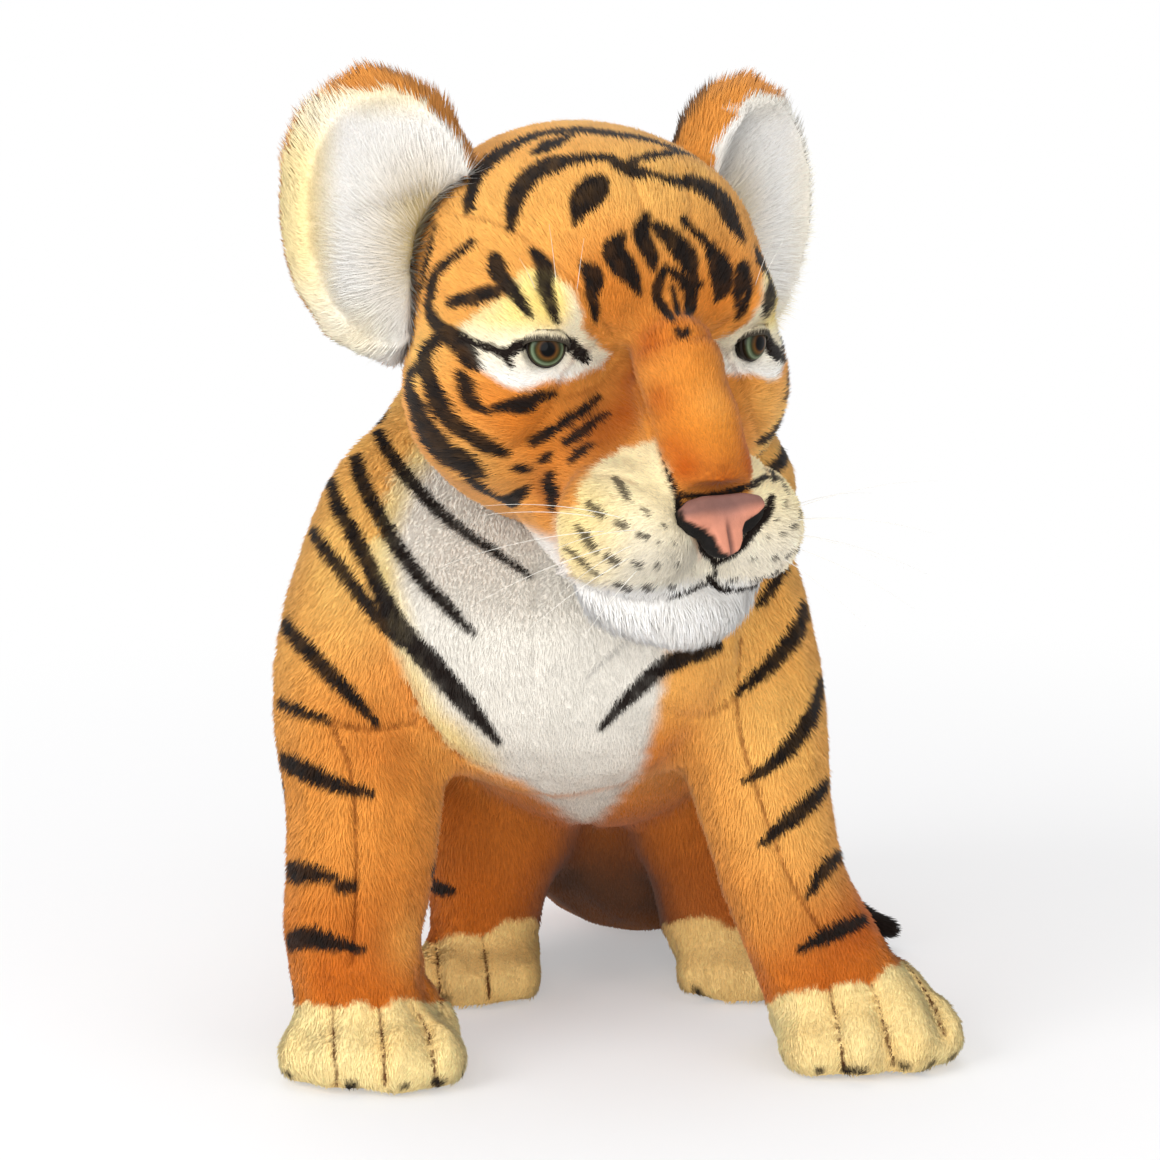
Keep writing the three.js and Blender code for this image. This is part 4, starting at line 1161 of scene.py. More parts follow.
def scatter(mesh, owners, per_square_mm, random):
    """Roots spread evenly over a mesh, with the smooth normal and the owner of each place."""
    places, normals, triangles = places_of(mesh), normals_of(mesh), triangles_of(mesh)
    a, b, c = places[triangles[:, 0]], places[triangles[:, 1]], places[triangles[:, 2]]
    areas = np.linalg.norm(np.cross(b - a, c - a), axis=1) / 2
    ends = np.cumsum(areas)
    count = int(ends[-1] / MM**2 * per_square_mm)
    picks = np.searchsorted(ends, (np.arange(count) + random.random(count)) / count * ends[-1])
    picks = np.minimum(picks, len(triangles) - 1)
    u, v = random.random((2, count))
    over = u + v > 1
    u[over], v[over] = 1 - u[over], 1 - v[over]
    weights = np.stack([1 - u - v, u, v], 1)[:, :, None]
    corners = triangles[picks]
    roots = (places[corners] * weights).sum(1)
    upright = unit((normals[corners] * weights).sum(1))
    return Pile(roots, upright, owners[corners[:, 0]])


def neck_height(points):
    """How far each place lies above the neck's plane, towards the head."""
    return (points - np.array(NECK_PLACE)) @ np.array(NECK_AXIS)


def from_neck(points):
    return np.linalg.norm(points - np.array(NECK_PLACE), axis=1)


def comb(pile, flow, lean, random, disorder=0.16, tufting=0.3):
    """Lays the strands along a flow, leaning by an angle from the surface, in small tufts."""
    flat = along_surface(flow, pile.normals)
    across = np.cross(pile.normals, flat)
    swirl = cell_noise(pile.roots, TUFT_SIZE, TUFT_SEED) * tufting + random.normal(0, disorder, len(flat))
    flat = flat * np.cos(swirl)[:, None] + across * np.sin(swirl)[:, None]
    rise = lean + cell_noise(pile.roots, LEAN_CELL, LEAN_SEED) * LEAN_WANDER
    rise += random.normal(0, LEAN_SPREAD, len(flat))
    pile.ways = unit(flat * np.cos(rise)[:, None] + pile.normals * np.sin(rise)[:, None])


def seen_places(pile):
    """Where along the skin each strand is seen: its middle, brought down to the skin."""
    flat = pile.ways - (pile.ways * pile.normals).sum(1, keepdims=True) * pile.normals
    return pile.roots + flat * pile.lengths[:, None] / 2


def needle():
    """One closed strand of unit length and radius along +Z."""
    bm = bmesh.new()
    bmesh.ops.create_cone(bm, cap_ends=True, segments=NEEDLE_SIDES, radius1=1, radius2=0, depth=1)
    bmesh.ops.translate(bm, verts=bm.verts, vec=(0, 0, 0.5))
    bm.verts.ensure_lookup_table()
    first = bm.verts[0].co
    flat_turn = NEEDLE_TURN - math.atan2(first.y, first.x)
    bmesh.ops.rotate(bm, verts=bm.verts, cent=(0, 0, 0), matrix=Matrix.Rotation(flat_turn, 3, "Z"))
    places = np.array([vert.co[:] for vert in bm.verts])
    faces = np.array([[vert.index for vert in face.verts] for face in bm.faces])
    bm.free()
    return places, faces


NEEDLE_PLACES, NEEDLE_FACES = needle()


def strand_mesh(name, pile, random):
    """A mesh of closed strands, shaded like the skin that they stand on."""
    count = len(pile.roots)
    side = unit(np.cross(pile.normals, pile.ways) + random.normal(0, NEEDLE_TWIST, (count, 3)))
    side = unit(side - (side * pile.ways).sum(1, keepdims=True) * pile.ways)
    up = np.cross(pile.ways, side)
    x, y, z = (NEEDLE_PLACES[:, i][None, :, None] for i in range(3))
    half = (pile.widths / 2)[:, None, None]
    places = pile.roots[:, None] + side[:, None] * x * half + up[:, None] * y * half
    places = places + pile.ways[:, None] * z * pile.lengths[:, None, None]
    above_floor(places)
    per = len(NEEDLE_PLACES)
    faces = (NEEDLE_FACES[None] + (np.arange(count) * per)[:, None, None]).reshape(-1, 3)
    mesh = bpy.data.meshes.new(name)
    mesh.vertices.add(count * per)
    mesh.vertices.foreach_set("co", places.astype(np.float32).ravel())
    mesh.loops.add(faces.size)
    mesh.loops.foreach_set("vertex_index", faces.astype(np.int32).ravel())
    mesh.polygons.add(len(faces))
    mesh.polygons.foreach_set("loop_start", np.arange(0, faces.size, 3, dtype=np.int32))
    mesh.update(calc_edges=True)
    mesh.shade_smooth()
    tips = (NEEDLE_PLACES[:, 2] > 0.5)[None, :, None]
    shades = np.where(tips, TIP_SHADE, ROOT_SHADE)
    paint(mesh, np.clip(pile.colours[:, None] * shades, 0, 1).reshape(-1, 3))
    own = unit((side[:, None] * x + up[:, None] * y).reshape(-1, 3)).reshape(count, per, 3)
    soft = pile.normals[:, None] + NEEDLE_ROUNDNESS * own + NEEDLE_FORWARD * pile.ways[:, None]
    mesh.normals_split_custom_set_from_vertices(unit(soft.reshape(-1, 3)).tolist())
    grid = math.ceil(math.sqrt(count))
    cells = np.stack([np.arange(count) % grid, np.arange(count) // grid], 1)
    flat = np.stack([NEEDLE_PLACES[:, 0] * 0.5 + 0.5, NEEDLE_PLACES[:, 2]], 1)
    inner = BAKE_MARGIN_SHARE + flat * (1 - 2 * BAKE_MARGIN_SHARE)
    uv = (cells[:, None] + inner[None]) / grid
    layer = mesh.uv_layers.new(name="OFBake")
    layer.uv.foreach_set("vector", uv.reshape(-1, 2)[faces.ravel()].astype(np.float32).ravel())
    return mesh


def grow(name, pile, material, body, slot, random):
    """Makes the strands' pieces, few enough in each to keep it light."""
    chosen = np.flatnonzero(pile.keep & (pile.lengths > 0))
    random.shuffle(chosen)
    parts = max(1, math.ceil(len(chosen) / MOST_STRANDS))
    for i in range(parts):
        part = pile.only(chosen[i::parts])
        label = name if parts == 1 else f"{name}_{i + 1}"
        piece = mesh_object(label, strand_mesh(label, part, random), material, body)


# The body


BODY_AXIS_PLACE = -112 * MM
BODY_AXIS_TOP = 216 * MM
BODY_AXIS_LEAN = 0.4
LEG_LINES = {
    "right": (Vector((-52, -116, 236)) * MM, Vector((-57, -202, 14)) * MM),
    "left": (Vector((38, -116, 236)) * MM, Vector((106, -142, 14)) * MM),
}
PAW_EDGE = 1.0 * MM
PAW_TOP = (60, 50)
PAW_FRONT = (0.96, 0.86)
BIB_SOFTNESS = 3.5 * MM
# Pixels in from the bib's edge, and pixels across the photograph, over which the bib's yellow edge fades out
BIB_EDGE = (36, 6)
BIB_EDGE_RIGHT = (520, 460)
CHEST_WAY = np.array([0, 0.15, -1.0])
BACK_WAY = np.array([0, 0.5, -1.0])
PAW_WAY = (0.1, -0.8, -0.7)
PAW_LENGTH = 0.62
BODY_TONES = (-0.14, 0.12)


def body_middle(height):
    """Where the torso's axis lies at a height."""
    return 0, BODY_AXIS_PLACE + max(0, BODY_AXIS_TOP - height) * BODY_AXIS_LEAN


def leg_middle(name):
    """The function that gives the place of a front leg's axis at a height."""
    shoulder, ankle = LEG_LINES[name]

    def at(height):
        share = (shoulder.z - height) / (shoulder.z - ankle.z)
        place = shoulder.lerp(ankle, share)
        return place.x, place.y

    return at


def body_paints(tree):
    """The strokes on the body's skin: stripes, faint stripes, seams and the seams between the toes."""
    stripes = photo_strokes(tree, BODY_STRIPES_PX, grow=STROKE_GROW)
    for side in SIDES.values():
        stripes += [round_stroke(tree, marks, body_middle, BODY_OUTSIDE, side) for marks in BACK_STRIPES]
    for name, bars in LEG_BACK_STRIPES.items():
        stripes += [round_stroke(tree, marks, leg_middle(name), LEG_OUTSIDE) for marks in bars]
    return {
        "stripes": stripes,
        "faint": photo_strokes(tree, FAINT_STRIPES_PX),
        "seams": photo_strokes(tree, SEAMS_PX),
        "toe_seams": photo_strokes(tree, TOE_SEAMS_PX, grow=TOE_SEAM_GROW, least_seen=1),
    }


def striped(colours, points, strokes, grain):
    """The colours with black stripes, a little thinner in places."""
    fullness = np.clip(STRIPE_FULLNESS + noise_sum(points, grain), 0, 1)
    return mixed(colours, BLACK, stroke_share(strokes, points) * fullness)


def toe_share(points, owners):
    """How much of each place of the body belongs to the cream toes, from 0 to 1."""
    result = np.zeros(len(points))
    for name, corners in FRONT_TOES_PX.items():
        low, high = (np.array(corner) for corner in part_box(name))
        front = smooth_step(*PAW_FRONT, (points[:, 1] - low[1]) / (high[1] - low[1]))
        share = photo_zone(points, corners, PAW_EDGE) * front * mm_step(*PAW_TOP, points[:, 2])
        result = np.maximum(result, share * part_of(owners, (name, PAW_LIMBS[name])))
    return result


def body_colours(points, normals, owners, paints):
    """The body's colours: orange, a white bib, cream toes and black stripes."""
    height = points[:, 2]
    in_torso = part_of(owners, TORSO)
    patches = noise_sum(points, BODY_PATCHES)
    colours = plain_colour(ORANGE, points)
    colours = mixed(colours, GOLD, mm_step(80, 220, height) * np.clip(0.6 + patches * 0.5, 0, 1))
    colours = mixed(colours, DEEP_ORANGE, mm_step(130, 30, height) * np.clip(0.75 + patches * 0.3, 0, 1))
    on_front_leg = part_of(owners, FRONT_LEGS + FRONT_PAWS)
    hind_front = mm_step(-10, -70, points[:, 1]) * mm_step(120, 70, height) * ~on_front_leg
    colours = mixed(colours, RUST, hind_front * 0.55)
    for place, reach, colour, strength in BODY_AIRBRUSH_AND_SHADE:
        share = blob(points, place, reach) * strength * (1 + patches * 0.5)
        colours = mixed(colours, colour, np.clip(share, 0, 1))
    # The bib, with a yellow edge on the right
    pixels = VIEW.pixels(points)
    edge = smooth_step(*BIB_EDGE, -polygon_gap(pixels, BIB_PX)) * smooth_step(*BIB_EDGE_RIGHT, pixels[:, 0])
    pale = mixed(plain_colour(BIB_WHITE, points), STRAW, edge * (0.75 + patches * 0.4))
    facing = smooth_step(-0.1, 0.2, VIEW.facing(points, normals))
    colours = mixed(colours, pale, photo_zone(points, BIB_PX, BIB_SOFTNESS) * facing * in_torso)
    # The toes, darker in their grooves and warmer on the hind paws
    toes = toe_share(points, owners)
    grooves = stroke_share(paints["toe_seams"], points, 5 * MM, 2 * MM)
    cream = mixed(plain_colour(PAW_CREAM, points), GOLD, np.clip(grooves * 0.5 + patches * 0.5, 0, 0.6))
    cream = mixed(cream, GOLD, part_of(owners, HIND_PAWS + THIGHS) * 0.5)
    colours = mixed(colours, cream, toes)
    # The seams and stripes, and black low down between the toes
    seams = stroke_share(paints["seams"], points, 0.9 * MM, 0)
    colours = mixed(colours, RUST * 0.4, seams * 0.7 * (1 - in_torso))
    colours = striped(colours, points, paints["stripes"], BODY_STRIPE_GRAIN)
    colours = mixed(colours, GREY, stroke_share(paints["faint"], points) * 0.7)
    colours = mixed(colours, TOE_LINE, stroke_share(paints["toe_seams"], points, 0.6 * MM, 0.2 * MM))
    between = grooves * 0.6 + noise_sum(points, TOE_BLACK_GRAIN)
    return mixed(colours, BLACK, smooth_step(0.15, 0.5, between) * mm_step(9, 4, height) * toes)


def body_flow(points, owners):
    """The way the body's pile is combed: down the chest, back along the flanks, out over the paws."""
    back = mm_step(-100, 20, points[:, 1])[:, None]
    flow = CHEST_WAY * (1 - back) + BACK_WAY * back
    flow[part_of(owners, PAWS)] = PAW_WAY
    return flow


def inset_skin(mesh, depth, flat_neck=False):
    """A skin's places moved in by a depth, where a flat neck stays in its plane."""
    places = places_of(mesh)
    step = normals_of(mesh) * depth[:, None]
    if flat_neck:
        axis = np.array(NECK_AXIS)
        near = smooth_step(NECK_FLAT_FAR, NECK_FLAT_NEAR, np.abs(neck_height(places)))
        step = step - (step @ axis * near)[:, None] * axis
    return places - step


def dented(mesh, places, paints, dents):
    """A skin's places sunk in along its strokes."""
    depth = sum(stroke_share(paints[kind], places, soft * MM, 0) * deep * MM for kind, soft, deep in dents)
    return places - normals_of(mesh) * depth[:, None]


def round_rim(mesh):
    """Rounds the edge between the neck's flat and the chest, shoulders and nape."""
    places = places_of(mesh)
    near = (np.abs(neck_height(places)) < RIM_REACH) & (from_neck(places) > RIM_START)
    soften(mesh, near, RIM_PASSES)


class PLUSHTIGER_OT_body(Operator):
    """Make the body's skin and pile"""

    bl_idname = "plush_tiger.body"
    bl_label = "Body"

    def execute(self, context):
        settings = context.scene.plush_pile
        random = np.random.default_rng(BODY_SEED)
        mesh = remeshed(node_copy(BODY_NODES, SEAM_LAP), "body_skin", *BODY_SKIN)
        round_rim(mesh)
        places = places_of(mesh)
        for place, reach, push in BODY_MOVES:
            places += blob(places, place, reach)[:, None] * np.array(push) * MM
        set_places(mesh, places)
        owners = nearest_nodes(places_of(mesh), BODY_NODES)
        places, paints = self.shaped(mesh, owners)
        paint(mesh, body_colours(places, normals_of(mesh), owners, paints))
        skin = mesh_object("body_skin", mesh, backing_material("fur_backing"), "sitting_body")
        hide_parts(*BODY_NODES)
        pile = scatter(mesh, owners, settings.strands_per_square_mm, random)
        self.lay(pile, settings, paints, random)
        material = pile_material("striped_pile")
        for index, name in enumerate(BODY_NODES):
            part = pile.only(pile.keep & (pile.owners == index))
            slot = "cream_fur" if "paw" in name else "striped_fur"
            grow(f"{name}_pile", part, material, "sitting_body", slot, random)
        return {"FINISHED"}

    def shaped(self, mesh, owners):
        """Brings the skin in, with lumps and dents, and gives its places and strokes."""
        normals = normals_of(mesh)
        depth = np.where(part_of(owners, PAWS), MUZZLE_INSET, BODY_INSET)
        places = inset_skin(mesh, depth, flat_neck=True)
        places += normals * noise_sum(places, BODY_LUMPS)[:, None]
        above_floor(places)
        set_places(mesh, places)
        places = dented(mesh, places, body_paints(tree_of(mesh)), BODY_DENTS)
        above_floor(places)
        set_places(mesh, places)
        return places, body_paints(tree_of(mesh))

    def lay(self, pile, settings, paints, random):
        """Sets the strands' lengths, widths, ways and colours."""
        roots = pile.roots
        in_torso = part_of(pile.owners, TORSO)
        on_paw = part_of(pile.owners, PAWS)
        pile.size(settings, random)
        pile.lengths[on_paw] *= PAW_LENGTH
        chest = mm_step(-140, -170, roots[:, 1]) * in_torso
        low_chest = in_torso * mm_step(120, 90, roots[:, 2])
        ankle = mm_step(60, 45, roots[:, 2]) * ~on_paw
        pile.lengths *= (1 - 0.3 * chest) * (1 - 0.4 * low_chest) * (1 - 0.35 * ankle)
        pile.widths *= 1 - 0.25 * chest
        comb(pile, body_flow(roots, pile.owners), settings.pile_lean, random)
        pile.keep = ~(pile.on_neck_flat(1) | pile.lies_under(BODY_UNDER))
        sewn = stroke_share(paints["seams"], roots, 3 * MM, 0)
        toes = stroke_share(paints["toe_seams"], roots, 2.5 * MM, 0)
        pile.lengths *= 1 - 0.5 * np.maximum(sewn, toes)
        seen = seen_places(pile)
        spread = random.uniform(*BODY_TONES, len(roots)) * (1 - 0.5 * chest)
        tone = (1 + spread) * (1 + noise_sum(seen, BODY_MOTTLE))
        pile.colours = body_colours(seen, pile.normals, pile.owners, paints) * tone[:, None]


# The head


HEAD_AXIS = (0, 8 * MM)
MUZZLE_MIDDLE = (0, -90, -62)
MUZZLE_REACH = 34
MUZZLE_FULL = 1.6
CHIN_WAY = np.array([0, -0.3, -1.0])
EYE_PATCH_SOFTNESS = 1.6 * MM
PAD_SOFTNESS = 1.8 * MM
LINE_SOFTNESS = 0.5 * MM
LINE_RAGGED = 0.3 * MM
HEAD_TONES = (0.87, 1.1)
# The pile round the eyes: where it is combed away from, from where to where, and the bare ring
EYE_FLOW_PLACE = np.array([-EYE_PLACE.x, EYE_PLACE.y - 3 * MM, EYE_PLACE.z])
EYE_FLOW_REACH = (17, 7)
EYE_FLOW_STRENGTH = 2.5
EYE_BARE_RADIUS = 6.9 * MM
FACE_BACK = -50 * MM


def head_flow(local):
    """Away from the nose, and down under the chin."""
    flow = local - np.array(MUZZLE_PLACE)
    low = mm_step(-88, -100, local[:, 2])[:, None]
    return unit(flow) * (1 - low) + CHIN_WAY * low


def head_depth(local):
    """How deep the skin lies under the pile: less on the muzzle and bridge than on the cheeks."""
    muzzle = np.clip(blob(local, MUZZLE_MIDDLE, MUZZLE_REACH) * MUZZLE_FULL, 0, 1)
    return HEAD_INSET + (MUZZLE_INSET - HEAD_INSET) * muzzle


def head_middle(height):
    """Where the head's axis lies, at any height of its own frame."""
    return HEAD_AXIS


def mirror_half(local):
    """Places brought over to the side of the face that the photograph shows best."""
    half = local.copy()
    half[:, 0] = -np.abs(half[:, 0])
    return half


def head_colours(points, paints):
    """The head's colours: orange, pale round the eyes and on the muzzle, and black stripes."""
    local = in_head(points)
    half = mirror_half(local)
    shown = moved_by(HEAD, half)
    out, back, up = half.T
    patches = noise_sum(points, HEAD_PATCHES)
    colours = plain_colour(ORANGE, points)
    for (x, y, z), reach, colour, strength in HEAD_AIRBRUSH_AND_SHADING:
        share = blob(half, (-x, y, z), reach) * strength * np.clip(1 + patches * 0.4, 0, 1.3)
        colours = mixed(colours, colour, np.clip(share, 0, 1))
    for place, reach, colour, strength in LEFT_AIRBRUSH:
        colours = mixed(colours, colour, blob(local, place, reach) * strength)
    # The patch round the eye, yellower at its top
    high = mm_step(-14, -4, up) * mm_step(-36, -44, out) + mm_step(-27, -33, up)
    patch = mixed(plain_colour(WHITE, points), IVORY, mm_step(-30, -12, up))
    patch = mixed(patch, STRAW, np.clip(high * (0.85 + patches * 0.8), 0, 1))
    in_front = mm_step(0, -20, back)
    colours = mixed(colours, patch, photo_zone(shown, EYE_PATCH_PX, EYE_PATCH_SOFTNESS) * in_front)
    # The whisker pads, yellower at the top and at their outer side
    pads = photo_zone(shown, PAD_PX, PAD_SOFTNESS) * mm_step(-20, -45, back)
    pale = mixed(plain_colour(PAD_IVORY, points), CREAM, mm_step(-86, -56, up) * 0.9)
    pale = mixed(pale, STRAW, mm_step(-30, -46, out) * 0.7)
    colours = mixed(colours, pale, pads)
    # The chin and throat
    colours = mixed(colours, WHITE, mm_step(-90, -96, up) * in_front)
    colours = mixed(colours, WHITE, mm_step(-78, -86, up) * mm_step(20, -10, back) * (1 - pads) * 0.9)
    # The seams, stripes, the fold's painted shade, mouth and dots
    colours = mixed(colours, RUST * 0.5, stroke_share(paints["seams"], points, 1.2 * MM, 0) * 0.45)
    colours = striped(colours, points, paints["stripes"], HEAD_STRIPE_GRAIN)
    colours = mixed(colours, GREY, stroke_share(paints["fold"], points, 1.2 * MM, 0) * 0.5)
    colours = mixed(colours, BLACK, stroke_share(paints["dots"], points, LINE_SOFTNESS, LINE_RAGGED) * 0.85)
    return mixed(colours, BLACK, stroke_share(paints["lines"], points, LINE_SOFTNESS, LINE_RAGGED))


def head_paints(tree):
    """The strokes on the head: both halves from the photograph, or the shown half mirrored."""
    stripes = photo_strokes(tree, CROWN_STRIPES_PX, grow=STROKE_GROW)
    stripes += photo_strokes(tree, CHEEK_MARKS_PX, grow=STROKE_GROW)
    stripes += photo_strokes(tree, HEAD_STRIPES_PX, BOTH_SIDES, grow=STROKE_GROW)
    for side in SIDES.values():
        stripes += [
            round_stroke(tree, marks, head_middle, BODY_OUTSIDE, side, HEAD) for marks in HEAD_BACK_STRIPES
        ]
    lines = photo_strokes(tree, LINER_PX, grow=LINER_GROW)
    lines += photo_strokes(tree, NOSE_LINES_PX)
    lines += photo_strokes(tree, MOUTH_LINES_PX, grow=MOUTH_GROW)
    return {
        "stripes": stripes,
        "lines": lines,
        "dots": photo_strokes(tree, WHISKER_DOTS_PX, BOTH_SIDES),
        "seams": photo_strokes(tree, HEAD_SEAMS_PX, BOTH_SIDES),
        "fold": photo_strokes(tree, MOUTH_FOLD_PX),
    }


def shaped_head(places):
    """Sinks the eyes, raises the brows and parts the muzzle from the cheeks."""
    local = in_head(places)
    for (x, y, z), reach, (push_x, push_y, push_z) in HEAD_MOVES:
        for side in SIDES.values() if x else (1,):
            way = np.array([push_x * side, push_y, push_z]) * MM
            local += blob(local, (x * side, y, z), reach)[:, None] * way
    return moved_by(HEAD, local)


class PLUSHTIGER_OT_head(Operator):
    """Make the head's skin and pile"""

    bl_idname = "plush_tiger.head"
    bl_label = "Head"

    def execute(self, context):
        settings = context.scene.plush_pile
        random = np.random.default_rng(HEAD_SEED)
        mesh = remeshed(node_copy(HEAD_NODES, SEAM_LAP), "head_skin", *HEAD_SKIN)
        owners = nearest_nodes(places_of(mesh), HEAD_NODES)
        set_places(mesh, shaped_head(places_of(mesh)))
        places = inset_skin(mesh, head_depth(in_head(places_of(mesh))), flat_neck=True)
        set_places(mesh, places)
        places = dented(mesh, places, head_paints(tree_of(mesh)), HEAD_DENTS)
        set_places(mesh, places)
        paints = head_paints(tree_of(mesh))
        paint(mesh, head_colours(places, paints))
        skin = mesh_object("head_skin", mesh, backing_material("head_backing"), "turning_head")
        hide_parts(*HEAD_NODES)
        pile = scatter(mesh, owners, settings.strands_per_square_mm * settings.head_density_share, random)
        local = in_head(pile.roots)
        self.lay(pile, local, settings, paints, random)
        material = pile_material("head_pile")
        front = local[:, 1] < FACE_BACK
        above = local[:, 2] > 0
        groups = {"face_pile": front, "crown_pile": ~front & above, "cheek_pile": ~front & ~above}
        for name, chosen in groups.items():
            grow(name, pile.only(pile.keep & chosen), material, "turning_head", "striped_fur", random)
        return {"FINISHED"}

    def lay(self, pile, local, settings, paints, random):
        """Sets the strands' lengths, widths, ways and colours."""
        roots = pile.roots
        half = mirror_half(local)
        face = blob(half, (0, -88, -46), 40)
        cheek = blob(half, (-66, -20, -50), 26)
        chin = mm_step(-94, -104, local[:, 2])
        pile.size(settings, random)
        pile.lengths *= 0.95 - 0.42 * face + 0.5 * cheek + 1.2 * chin
        pile.widths *= 0.78 - 0.2 * face
        away = half - EYE_FLOW_PLACE
        to_eye = np.linalg.norm(away, axis=1)
        near_eye = mm_step(*EYE_FLOW_REACH, to_eye)
        away[:, 0] *= np.where(local[:, 0] > 0, -1, 1)
        flow = head_flow(local) + unit(away) * near_eye[:, None] * EYE_FLOW_STRENGTH
        comb(pile, turned_by(HEAD, flow), settings.pile_lean, random)
        pile.keep = ~pile.on_neck_flat(-1) & (to_eye > EYE_BARE_RADIUS)
        fold = stroke_share(paints["fold"], roots, 3.5 * MM, 0)
        folded = np.maximum(fold, stroke_share(paints["seams"], roots, 3 * MM, 0))
        pile.lengths *= (1 - 0.5 * near_eye) * (1 - 0.5 * folded)
        pile.lengths *= 1 - 0.3 * stroke_share(paints["lines"], roots, LINE_SOFTNESS, 0)
        seen = seen_places(pile)
        tone = random.uniform(*HEAD_TONES, len(roots)) * (1 + noise_sum(seen, HEAD_MOTTLE))
        pile.colours = head_colours(seen, paints) * tone[:, None]


# Ears


EAR_ROOT = Vector((50, 14, 10)) * MM
EAR_FILL = 6.5 * MM
EAR_FILL_REACH = 28 * MM
EAR_OPEN = (0.2, 0.7)
EAR_OPEN_SOFTENED = 0.3
EAR_DENTS = [("fold", 4, 3)]
LINING_RISE = 2.6 * MM
LINING_PASSES = 14
LINING_SOFTNESS = 1.5 * MM
EAR_SPREAD = (0.6, 1.0)
EAR_TONES = (0.88, 1.08)
EAR_DISORDER = 0.1
EAR_TUFTING = 0.2
# The lining's yellow edge is much fainter on the left ear
LEFT_EDGE_SHARE = 0.25


class PLUSHTIGER_OT_ears(Operator):
    """Make the two ears: an orange cup with a pale lining"""

    bl_idname = "plush_tiger.ears"
    bl_label = "Ears"

    def execute(self, context):
        settings = context.scene.plush_pile
        material = pile_material("ear_pile")
        backing = backing_material("ear_backing")
        for name, side in SIDES.items():
            random = np.random.default_rng(EAR_SEED + side)
            nodes = (f"ear_outer_{name}", f"ear_inner_{name}")
            mesh = remeshed(node_copy(nodes, SEAM_LAP), f"ear_skin_{name}", *EAR_SKIN)
            owners = nearest_nodes(places_of(mesh), nodes)
            places = self.shaped(mesh, owners == 1, name)
            paint(mesh, self.colours(places, normals_of(mesh), owners, side))
            skin = mesh_object(f"ear_skin_{name}", mesh, backing, "turning_head")
            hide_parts(*nodes)
            pile = scatter(mesh, owners, settings.strands_per_square_mm, random)
            self.lay(pile, side, settings, random)
            grow(f"ear_pile_{name}", pile, material, "turning_head", "striped_fur", random)
        return {"FINISHED"}

    def shaped(self, mesh, in_lining, name):
        """Swells the lining, sinks the right ear's fold and gives the skin's places."""
        normals = normals_of(mesh)
        places = inset_skin(mesh, np.full(len(in_lining), EAR_INSET))
        facing = unit(normals[in_lining].sum(0, keepdims=True))[0]
        from_middle = np.linalg.norm(places - places[in_lining].mean(0), axis=1)
        open_side = smooth_step(*EAR_OPEN, normals @ facing)
        fill = np.exp(-((from_middle / EAR_FILL_REACH) ** 2)) * open_side
        places += facing * (fill * EAR_FILL + in_lining * LINING_RISE)[:, None]
        set_places(mesh, places)
        soften(mesh, open_side > EAR_OPEN_SOFTENED, LINING_PASSES)
        fold = [photo_stroke(tree_of(mesh), EAR_FOLD_PX)] if name == "right" else []
        places = dented(mesh, places_of(mesh), {"fold": fold}, EAR_DENTS)
        set_places(mesh, places)
        return places

    def lay(self, pile, side, settings, random):
        """Sets the strands' lengths, widths, ways and colours."""
        count = len(pile.roots)
        local = in_head(pile.roots)
        away = local - np.array([EAR_ROOT.x * side, EAR_ROOT.y, EAR_ROOT.z])
        inner = pile.owners == 1
        near_root = mm_step(58, 26, np.linalg.norm(away, axis=1))
        crest = ~inner * mm_step(66, 80, local[:, 2] + 0.3 * np.abs(local[:, 0]))
        pile.lengths = settings.pile_length * random.uniform(*EAR_SPREAD, count)
        pile.lengths += inner * (1.2 + near_root * 9) * MM * random.random(count)
        pile.lengths += crest * 4 * MM * random.random(count)
        pile.widths = settings.pile_width * random.uniform(*EAR_SPREAD, count) * (1 - 0.3 * inner)
        comb(pile, turned_by(HEAD, unit(away)), settings.pile_lean, random, EAR_DISORDER, EAR_TUFTING)
        lift = inner * 0.1 + crest * 0.5
        pile.ways = unit(pile.ways + pile.normals * lift[:, None])
        tone = random.uniform(*EAR_TONES, count)
        shade = np.where(inner, 0.5 + tone * 0.52, tone)
        pile.colours = self.colours(seen_places(pile), pile.normals, pile.owners, side) * shade[:, None]

    def colours(self, points, normals, owners, side):
        """Orange outside with a black root behind, white inside with a yellow edge, and olive-brown painted
        shade in the hollow.
        """
        local = in_head(points)
        local[:, 0] *= side
        out, back, up = local.T
        on_right = side < 0
        behind = smooth_step(0.0, 0.4, turned_by(HEAD.inverted(), normals)[:, 1])
        outer = mixed(plain_colour(ORANGE, points), DEEP_ORANGE, mm_step(20, 60, up) * 0.3)
        ragged = out + noise_sum(points, EAR_ROOT_WANDER)
        root = mm_step(78, 66, ragged) * mm_step(0, 20, up) * behind
        if on_right:
            root = root * mm_step(26, 36, back)
        outer = mixed(outer, BLACK, root * 0.9)
        edge = 1.0 if on_right else LEFT_EDGE_SHARE
        inner = mixed(plain_colour(WHITE, points), STRAW, mm_step(90, 107, out) * 0.75 * edge)
        inner = mixed(inner, STRAW, mm_step(58, 72, up) * 0.5 * edge)
        inner = mixed(inner, STRAW, mm_step(4, -18, up) * mm_step(70, 90, out) * 0.4)
        # Painted shade in the lining's hollow, darkest at its core
        inner = mixed(inner, EAR_HOLLOW_SHADE, np.clip(blob(local, (58, 20, 20), (17, 22, 24)) * 1.5, 0, 1))
        inner = mixed(inner, EAR_HOLLOW_SHADE * 0.6, blob(local, (60, 20, 26), (8, 16, 9)) * 0.8)
        shown = moved_by(HEAD, local * np.array([-1, 1, 1]))
        lining = photo_zone(shown, EAR_LINING_PX, LINING_SOFTNESS) * smooth_step(0.9, 0.5, behind)
        return mixed(outer, inner, np.maximum(lining, owners == 1))


# Tail


